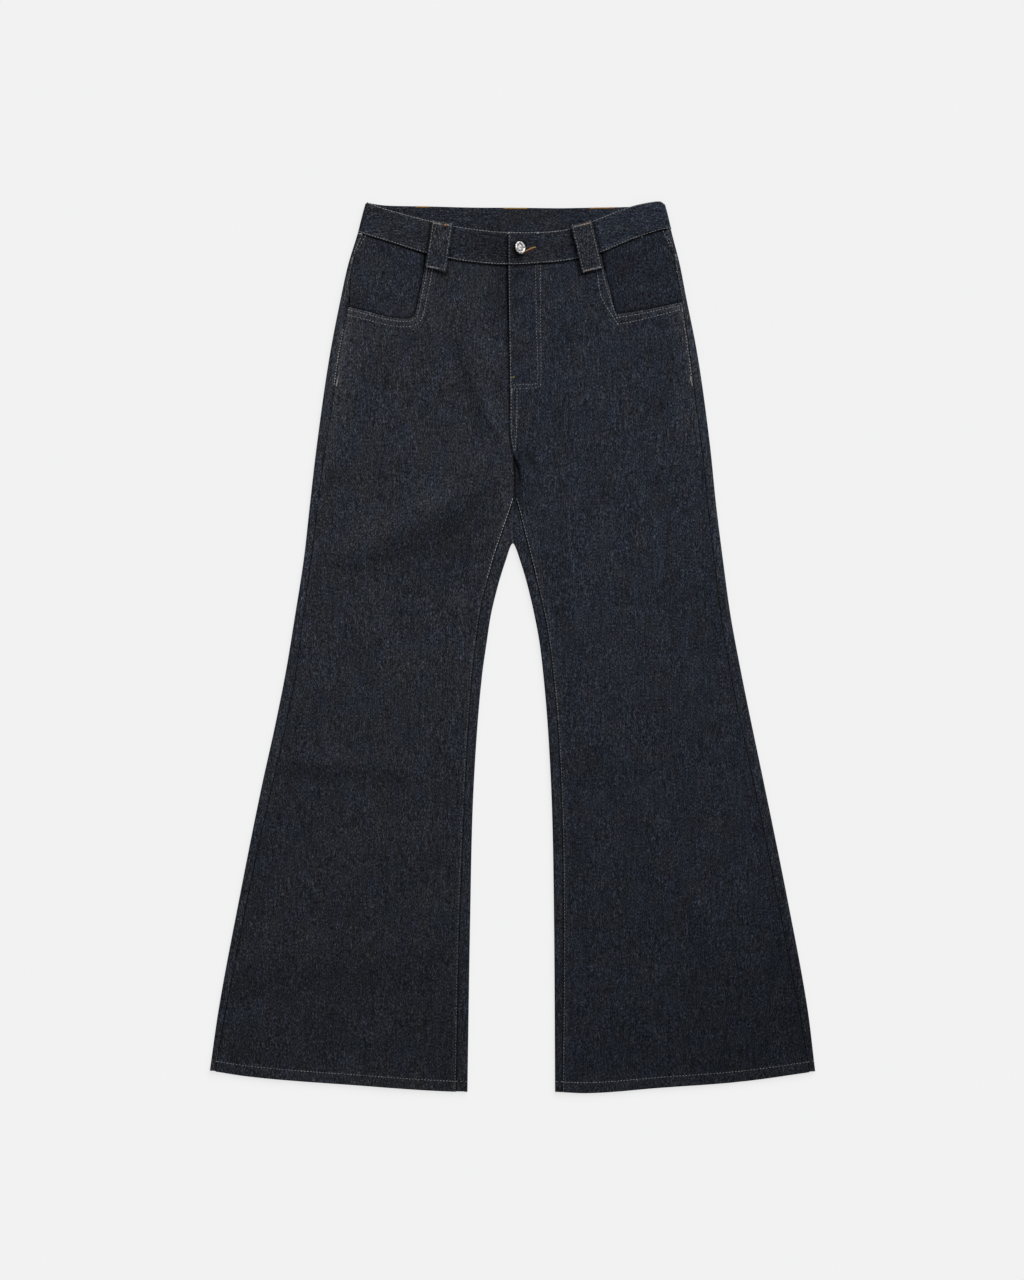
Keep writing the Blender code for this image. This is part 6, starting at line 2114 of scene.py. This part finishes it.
@dataclass
class LegSewing:
    """The seams of the legs: inseams, outseams, hems, fly and front pockets."""

    sewing: Sewing

    def inseam(self, leg: Leg) -> None:
        """One line on the front, beside the seam."""
        down = np.arange(CROTCH_DOWN + 3.0, 1068.0, STEP)
        path = line_of(INSEAM[leg](down) + leg.sign * 1.9, down)
        low = down >= 452.0
        fine = {Leg.RIGHT: FINE_STITCH, Leg.LEFT: SEAM_STITCH}[leg]
        self.sewing.stitch(leg.front_sewing, leg.front, path[low], kind=fine)
        if leg is Leg.RIGHT:
            self.sewing.stitch("stitching_crotch", leg.front, path[~low], thread="pale")
        else:
            self.sewing.stitch(leg.front_sewing, leg.front, path[~low])

    def outseam(self, leg: Leg) -> None:
        """One line beside the seam from the pocket to a bartack on the hip, and its top end."""
        sew, sign = self.sewing, leg.sign
        piece, cloth, inset, hip, kind = {
            Leg.RIGHT: (leg.back_sewing, leg.back, 1.0, 150.0, HIP_STITCH),
            Leg.LEFT: (leg.front_sewing, leg.front, 1.5, 154.0, HEM_STITCH),
        }[leg]
        down = np.arange(128.0, SIDE_STITCH_END, STEP)
        path = line_of(outseam(leg, down) - inset, down)
        sew.stitch(piece, cloth, path[down < hip])
        sew.stitch("stitching_hips", cloth, path[down >= hip], kind=kind, thread="pale")
        for line in SIDE_TOPS[leg]:
            sew.stitch(leg.front_sewing, f"facing_{leg.word}", line)
            sew.stitch(leg.front_sewing, leg.yoke, line)
        end = Spot(float(outseam(leg, 216.0)) - sign * 2.4, 216.0)
        sew.bartack(leg.front_sewing, leg.front, end, 90.0 + sign * 12.0, 12.0)
        for shift in (-1.4, 1.4):
            spot = Spot(float(SIDE_EDGE[leg](70.0)) - sign * (4.4 + shift), 70.0 + sign * shift)
            sew.bartack(leg.front_sewing, leg.yoke, spot, 90.0 + sign * 14.0, 8.0, kind=LOOP_BARTACK)
        down = np.arange(78.0, 122.0, STEP)
        path = line_of(SIDE_EDGE[leg](down) - sign * 4.6, down)
        for cloth in (leg.yoke, leg.back):
            sew.stitch(leg.front_sewing, cloth, path, kind=SEAM_STITCH)

    def hem(self, leg: Leg) -> None:
        """One line round the hem."""
        inner, outer = sorted((float(INSEAM[leg](1055.0)), float(outseam(leg, 1035.0))))
        across = np.arange(inner + 0.5, outer, STEP)
        path = line_of(across, HEM(across) - HEM_DEPTH)
        self.sewing.stitch(leg.front_sewing, leg.front, path, kind=HEM_STITCH)
        inner, outer = sorted((float(INNER_EDGE[leg](1060.0)), float(SIDE_EDGE[leg](1040.0))))
        across = np.arange(inner + 2.0, outer - 1.5, STEP)
        path = line_of(across, HEM(across) - HEM_DEPTH)
        for face in Face:
            self.sewing.stitch(leg.back_sewing, leg.back, path, face, HEM_STITCH)

    def pocket(self, leg: Leg) -> None:
        """Two lines along the edge of the scoop."""
        lines = LEFT_POCKET_STITCHES
        if leg is Leg.RIGHT:
            edge = scoop_line(leg, STEP)
            lines = [offset_path(edge, distance) for distance in SCOOP_STITCHES]
        for line in lines:
            self.sewing.stitch(leg.front_sewing, leg.front, line)

    def fly(self) -> None:
        """The J of the fly, its edge, its bartacks and the seam below it."""
        name, cloth = "stitching_fly", Leg.LEFT.front
        for line in FLY_STITCHES:
            self.sewing.stitch(name, cloth, line, kind=HEM_STITCH)
        down = np.arange(79.0, FLY_END - 2.0, STEP)
        for line in (line_of(CENTRE_FRONT(down) + 1.0, down), *BELOW_FLY_STITCHES):
            self.sewing.stitch(name, cloth, line)
        self.sewing.bartack("bartacks_fly", cloth, Spot(1.0, 211.6), 16.0, 4.6, thread="olive")
        self.sewing.bartack(name, cloth, Spot(-0.4, 227.6), 84.0, 6.0)

    def back(self, leg: Leg) -> None:
        """Two lines under the yoke and beside the centre back."""
        edge = float(SIDE_EDGE[leg](90.0)) - leg.sign * 6.0
        across = np.linspace(CENTRE_BACK + leg.sign * 1.0, edge, 140)
        for distance in (EDGE_STITCH, SECOND_STITCH):
            path = line_of(across, yoke_seam(across) + distance)
            self.sewing.stitch(leg.back_sewing, leg.back, path, Face.UNDER)
        if leg is Leg.RIGHT:
            return
        for offset in (EDGE_STITCH, SECOND_STITCH):
            for cloth, start, end in ((leg.back, 121.0, 398.0), (leg.yoke, 49.0, 117.0)):
                down = np.arange(start, end, STEP)
                path = line_of(np.full(down.shape, CENTRE_BACK + offset), down)
                self.sewing.stitch(leg.back_sewing, cloth, path, Face.UNDER)

    def patch_pocket(self, pocket: BackPocket) -> None:
        """Two lines round a patch pocket and along its hem, with bartacks at its corners."""
        name, cloth, sign = pocket.leg.back_sewing, f"patch_pocket_{pocket.leg.word}", pocket.leg.sign
        for inset in (EDGE_STITCH, SECOND_STITCH):
            corners = pocket.outline(inset)
            for start, end in zip(corners[:-1], corners[1:]):
                self.sewing.stitch(name, cloth, (Spot(*start), Spot(*end)), Face.UNDER)
        for down in (pocket.top + 3.0, pocket.top + 13.0):
            ends = [Spot(sign * across, down) for across in (pocket.inner + 3.0, pocket.outer - 3.0)]
            self.sewing.stitch(name, cloth, ends, Face.UNDER)
        for across in (pocket.inner + 5.0, pocket.outer - 5.0):
            self.sewing.bartack(name, cloth, Spot(sign * across, pocket.top + 1.4), 0.0, 8.0, Face.UNDER)

    def build(self, pockets: Sequence[BackPocket]) -> None:
        """Sews the legs."""
        for leg in Leg:
            for sew in (self.inseam, self.outseam, self.hem, self.pocket, self.back):
                sew(leg)
        self.fly()
        for pocket in pockets:
            self.patch_pocket(pocket)


@dataclass
class BandSewing:
    """The waistband's topstitching, its loops' stitches and bartacks, and the buttonhole."""

    sewing: Sewing
    band: Net

    def run(self, part: float, inset: int) -> Array:
        """A line along the band, at a part of its width, a little proud of it."""
        places = spread(self.band.across.shape[1] - 1, 0.4)
        line, out = (
            np.stack([[np.interp(part, places, row[:, axis]) for axis in range(3)] for row in grid])
            for grid in (self.band.points(), self.band.normals()))
        return (line + out * 0.08 * MM)[inset:-inset]

    def build_band(self) -> None:
        """Lines along both edges and down the end."""
        name, cloth = "stitching_waistband", "waist_band"
        for part in (0.024, 0.955):
            self.sewing.add(name, "thread", BAND_STITCH, [self.run(part, 2)])
        down = np.arange(39.0, 76.0, STEP)
        self.sewing.stitch(name, cloth, line_of(down * 0.0 + FLY_EDGE + 1.5, down))
        for across in (FLY_EDGE + 0.6, BAND_UNDERLAP_EDGE):
            self.sewing.bartack("bartacks_waistband", cloth, Spot(across, 39.2), 20.0, 2.6, thread="pale")

    def build_loop(self, node: str, line: Array, aside: Array, face: Face) -> None:
        """Two lines along a loop, and bartacks at its ends."""
        up = np.array([0.0, 0.0, face.value * 0.12 * MM])
        for offset in (-10.7, 10.7):
            run = line[2:-2] + aside * offset * MM + up
            self.sewing.add("stitching_loops", "thread", TOPSTITCH, [run])
        lengths = np.concatenate(([0.0], np.cumsum(np.linalg.norm(np.diff(line, axis=0), axis=1))))
        for spot in (3.0 * MM, lengths[-1] - 1.8 * MM):
            middle = np.array([np.interp(spot, lengths, line[:, axis]) for axis in range(3)])
            ends = np.linspace(middle - aside * 10.6 * MM, middle + aside * 10.6 * MM, 12) + 1.3 * up
            if face is Face.UNDER:
                self.sewing.add("bartacks_loops", "bright_thread", LOOP_BARTACK, [ends])
                continue
            self.sewing.add("stitching_loops", "thread", LOOP_BARTACK, [ends])
            if spot < 0.01 or node == "belt_loop_front_left":
                shown = slice(2, 4) if spot > 0.5 * lengths[-1] else slice(7, 10)
                self.sewing.add("bartacks_loops", "bright_thread", LOOP_BARTACK, [ends[shown] + up])

    def build_buttonhole(self) -> None:
        """The purl stitches round the keyhole: its upper lip, and the lower one in a dark thread, painted
        shade from the button.
        """
        for thread, piece, line in (
            ("bright_thread", "buttonhole_thread", KEYHOLE_UPPER[:5]),
            ("olive", "buttonhole_end", KEYHOLE_UPPER[3:]),
            ("lip", "buttonhole_lip", KEYHOLE_LOWER),
        ):
            self.sewing.stitch(piece, "waist_band", smooth_path(line, 0.6), kind=PURL, thread=thread)

    def build_back_edge(self) -> None:
        """The loops' bartacks, where they reach over the top edge at the back."""
        edges = Waistband.edges(BACK_BAND)
        along = np.linspace(0.0, BACK_BAND[-1].spot, 400)
        for middle, width in zip(BACK_LOOPS.values(), (16.0, 28.0, 30.0)):
            across = np.linspace(middle - 0.5 * width, middle + 0.5 * width, 16)
            top = np.interp(across, edges["top_across"](along), edges["top_down"](along))
            line = place(across, top + 0.6, BAND_CLOTH + LOOP_CLOTH + 0.35)
            self.sewing.add("bartacks_back_loops", "bright_thread", BARTACK, [line])


# ---- button and zip
@dataclass
class ShankButton:
    """The shank button: a tilted cap with a rolled rim, on a post in the buttonhole."""

    shop: Workshop
    middle: Spot = BUTTON
    radius: float = 7.6
    tilt: float = 38.0
    lean: float = 12.0
    segments: int = 64

    def profile(self) -> Array:
        """The cap's outline, from the middle of its face round the rim to its underside."""
        knots = (
            (0.0, 1.75), (1.4, 1.72), (2.7, 1.55), (3.6, 1.20), (4.1, 0.95), (4.6, 0.92),
            (5.0, 1.08), (5.5, 1.50), (6.2, 1.92), (6.9, 1.98), (7.6, 1.70), (8.0, 1.15),
            (8.1, 0.62), (7.9, 0.2), (7.2, 0.0), (4.0, 0.0), (2.1, 0.0), (0.0, 0.0),
        )
        points = np.array(knots) * self.radius / max(radius for radius, _ in knots)
        along = lengths_along(points)
        places = np.linspace(0.0, along[-1], 54)
        return np.stack([Curve(along, line)(places) for line in points.T], axis=1)

    def build(self) -> None:
        """Makes the button."""
        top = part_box("button")[1].z / MM
        tilt = math.radians(self.tilt)
        rise = self.radius * math.sin(tilt) + 0.95 * math.cos(tilt)
        centre = Vector(place(self.middle.across, self.middle.down, top - rise))
        turn = Matrix.Rotation(math.radians(self.lean), 4, "Z") @ Matrix.Rotation(tilt, 4, "Y")
        made = bmesh.new()
        shade = made.verts.layers.float.new("shade")
        angles = np.linspace(0.0, 2.0 * np.pi, self.segments, endpoint=False)
        rings = []
        for radius, height in self.profile():
            ray = max(radius, 0.0)
            rings.append([])
            for angle in angles:
                mark = 0.07 * math.cos(20.0 * angle) * math.exp(-((ray - 4.35) / 0.45) ** 2)
                dent = 0.05 * math.sin(3.0 * angle + ray) * math.sin(ray * 2.1) * float(ray < 3.6)
                vert = made.verts.new((
                    ray * math.cos(angle) * MM, ray * math.sin(angle) * MM, (height + mark + dent) * MM))
                # Tarnish in the groove, and painted shade under the rim for the dark outline.
                vert[shade] = 0.8 * math.exp(-((ray - 4.1) / 0.6) ** 2) + float(ray > 6.9 and height < 1.0)
                rings[-1].append(vert)
        for one, two in zip(rings, rings[1:]):
            for i in range(self.segments):
                j = (i + 1) % self.segments
                made.faces.new((one[i], two[i], two[j], one[j]))
        bmesh.ops.remove_doubles(made, verts=made.verts, dist=0.004 * MM)
        bmesh.ops.transform(made, matrix=Matrix.Translation(centre) @ turn, verts=made.verts)
        self.add_post(made, top - rise)
        bmesh.ops.recalc_face_normals(made, faces=made.faces)
        mesh = bpy.data.meshes.new("shank_button")
        close_mesh(made, mesh)
        mesh.materials.append(self.shop.finishes.silver)
        mesh.set_sharp_from_angle(angle=math.radians(50.0))
        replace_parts(self.shop.piece("shank_button", mesh, "metal"), "button")

    def add_post(self, made: bmesh.types.BMesh, cap: float) -> None:
        """Adds the post, from the cloth to inside the cap."""
        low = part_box("button")[0].z / MM
        depth = cap + 1.1 - low
        middle = place(self.middle.across, self.middle.down, low + 0.5 * depth)
        bmesh.ops.create_cone(
            made, cap_ends=True, segments=32, radius1=2.2 * MM, radius2=1.85 * MM, depth=depth * MM,
            matrix=Matrix.Translation(Vector(middle)))


@dataclass
class Zip:
    """The closed zip under the fly."""

    shop: Workshop
    tree: StitchTree

    def build(self) -> None:
        """Makes its tape a thin sheet, dresses its slider, and sets its teeth in the tape."""
        slider = self.shop.nodes["zip_slider"].data
        slider.materials.clear()
        slider.materials.append(self.shop.finishes.silver)
        self.tape()
        low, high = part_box("zip_tape")
        middle = 0.5 * (low.x + high.x)
        form = self.shop.form("zip_tape")
        line = []
        for y in np.linspace(low.y + 3.0 * MM, high.y - 3.0 * MM, 60):
            hit = form.tree.ray_cast(Vector((middle, y, 0.2)), Vector((0.0, 0.0, -1.0)))[0]
            line.append((middle, y, hit.z - 0.42 * MM))
        mesh = self.tree.mesh("zip_teeth", [np.array(line)], ZIP_TOOTH, self.shop.finishes.silver, 5)
        self.shop.piece("zip_teeth", mesh, "metal")

    def tape(self) -> None:
        """The two tapes as one thin sheet, a little raised where the teeth close."""
        low, high = (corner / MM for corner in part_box("zip_tape"))
        left, right = low.x + ORIGIN_ACROSS, high.x + ORIGIN_ACROSS
        across = between(left, right, np.linspace(0.0, 1.0, 21))[None, :]
        down = between(ORIGIN_DOWN - high.y, ORIGIN_DOWN - low.y, np.linspace(0.0, 1.0, 61))[:, None]
        across, down = np.broadcast_arrays(across, down)
        height = soften(self.shop.form("zip_tape").heights(across, down), 2.0, 1.0)
        height = height - 0.05 - 0.12 * np.cos(2.0 * np.pi * (across - left) / (right - left))
        self.shop.cloth(
            "zip_tape_sheet", [Net(across, down, height)], self.shop.finishes.tape, "zip_tape",
            thickness=TAPE, rests_on=["leg_front_right"], slot="tape")


# ---- studio
@dataclass(frozen=True)
class Studio:
    """The pale floor, soft light from the waist's side, and the camera straight above."""

    finishes: Finishes
    view_height: float = 1.536      # what the picture's height covers on the floor
    lens: float = 90.0
    middle: tuple[float, float] = (-0.0006, 0.0091)

    def build(self) -> None:
        """Sets it all up."""
        self.floor()
        self.camera()
        self.lights()
        scene = bpy.context.scene
        scene.view_settings.view_transform = "Standard"
        scene.view_settings.look = "None"

    def floor(self) -> None:
        """A large pale sheet."""
        made = bmesh.new()
        bmesh.ops.create_grid(made, x_segments=1, y_segments=1, size=40.0)
        mesh = bpy.data.meshes.new("floor")
        made.to_mesh(mesh)
        made.free()
        mesh.transform(Matrix.Translation((0.0, 0.0, -0.0005)))
        mesh.materials.append(self.finishes.floor)
        new_object("floor", mesh)

    def camera(self) -> None:
        """Straight above the jeans, with the waist at the top."""
        data = bpy.data.cameras.new("camera")
        data.lens = self.lens
        data.sensor_width = 36.0
        data.clip_end = 100.0
        camera = new_object("camera", data)
        camera.location = (*self.middle, self.view_height * self.lens / 36.0)
        bpy.context.scene.camera = camera

    def lights(self) -> None:
        """A broad sun from beyond the waist, and an even surround."""
        world = bpy.data.worlds.new("surround")
        bpy.context.scene.world = world
        world.use_nodes = True
        background = world.node_tree.nodes["Background"]
        background.inputs["Color"].default_value = (0.98, 0.99, 1.0, 1.0)
        background.inputs["Strength"].default_value = 0.42
        data = bpy.data.lights.new("key", "SUN")
        data.energy = 3.1
        data.angle = math.radians(50.0)
        light = new_object("key", data)
        light.rotation_euler = Vector((-0.40, -0.70, -0.72)).to_track_quat("-Z", "Y").to_euler()


def main() -> None:
    """Builds the jeans in order."""
    logging.basicConfig(level=logging.INFO, format="%(message)s")
    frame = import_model()
    finishes = Finishes()
    shop = Workshop(frame["nodes"], finishes)
    Studio(finishes).build()
    pockets = [BackPocket(shop, leg) for leg in Leg]
    for leg in Leg:
        FrontLeg(shop, leg).build()
        BackLeg(shop, leg).build()
        Yoke(shop, leg).build()
        PocketFacing(shop, leg).build()
    for pocket in pockets:
        pocket.build()
    band = Waistband(shop).build()
    sewing = Sewing(shop)
    band_sewing = BandSewing(sewing, band)
    for leg, (start, end) in FRONT_LOOPS.items():
        node = f"belt_loop_front_{leg.word}"
        line, aside = BeltLoop(shop, node, start, end, Face.UP, 25.4, LOOP_SKEWS[leg]).build()
        band_sewing.build_loop(node, line, aside, Face.UP)
    for word, middle in BACK_LOOPS.items():
        node = f"belt_loop_back_{word}"
        start, end = Spot(middle, BACK_LOOP_TOP), Spot(middle, BACK_LOOP_END)
        line, aside = BeltLoop(shop, node, start, end, Face.UNDER).build()
        band_sewing.build_loop(node, line, aside, Face.UNDER)
    band_sewing.build_band()
    band_sewing.build_buttonhole()
    band_sewing.build_back_edge()
    LegSewing(sewing).build(pockets)
    sewing.build()
    ShankButton(shop).build()
    Zip(shop, sewing.tree).build()


if __name__ == "__main__":
    main()
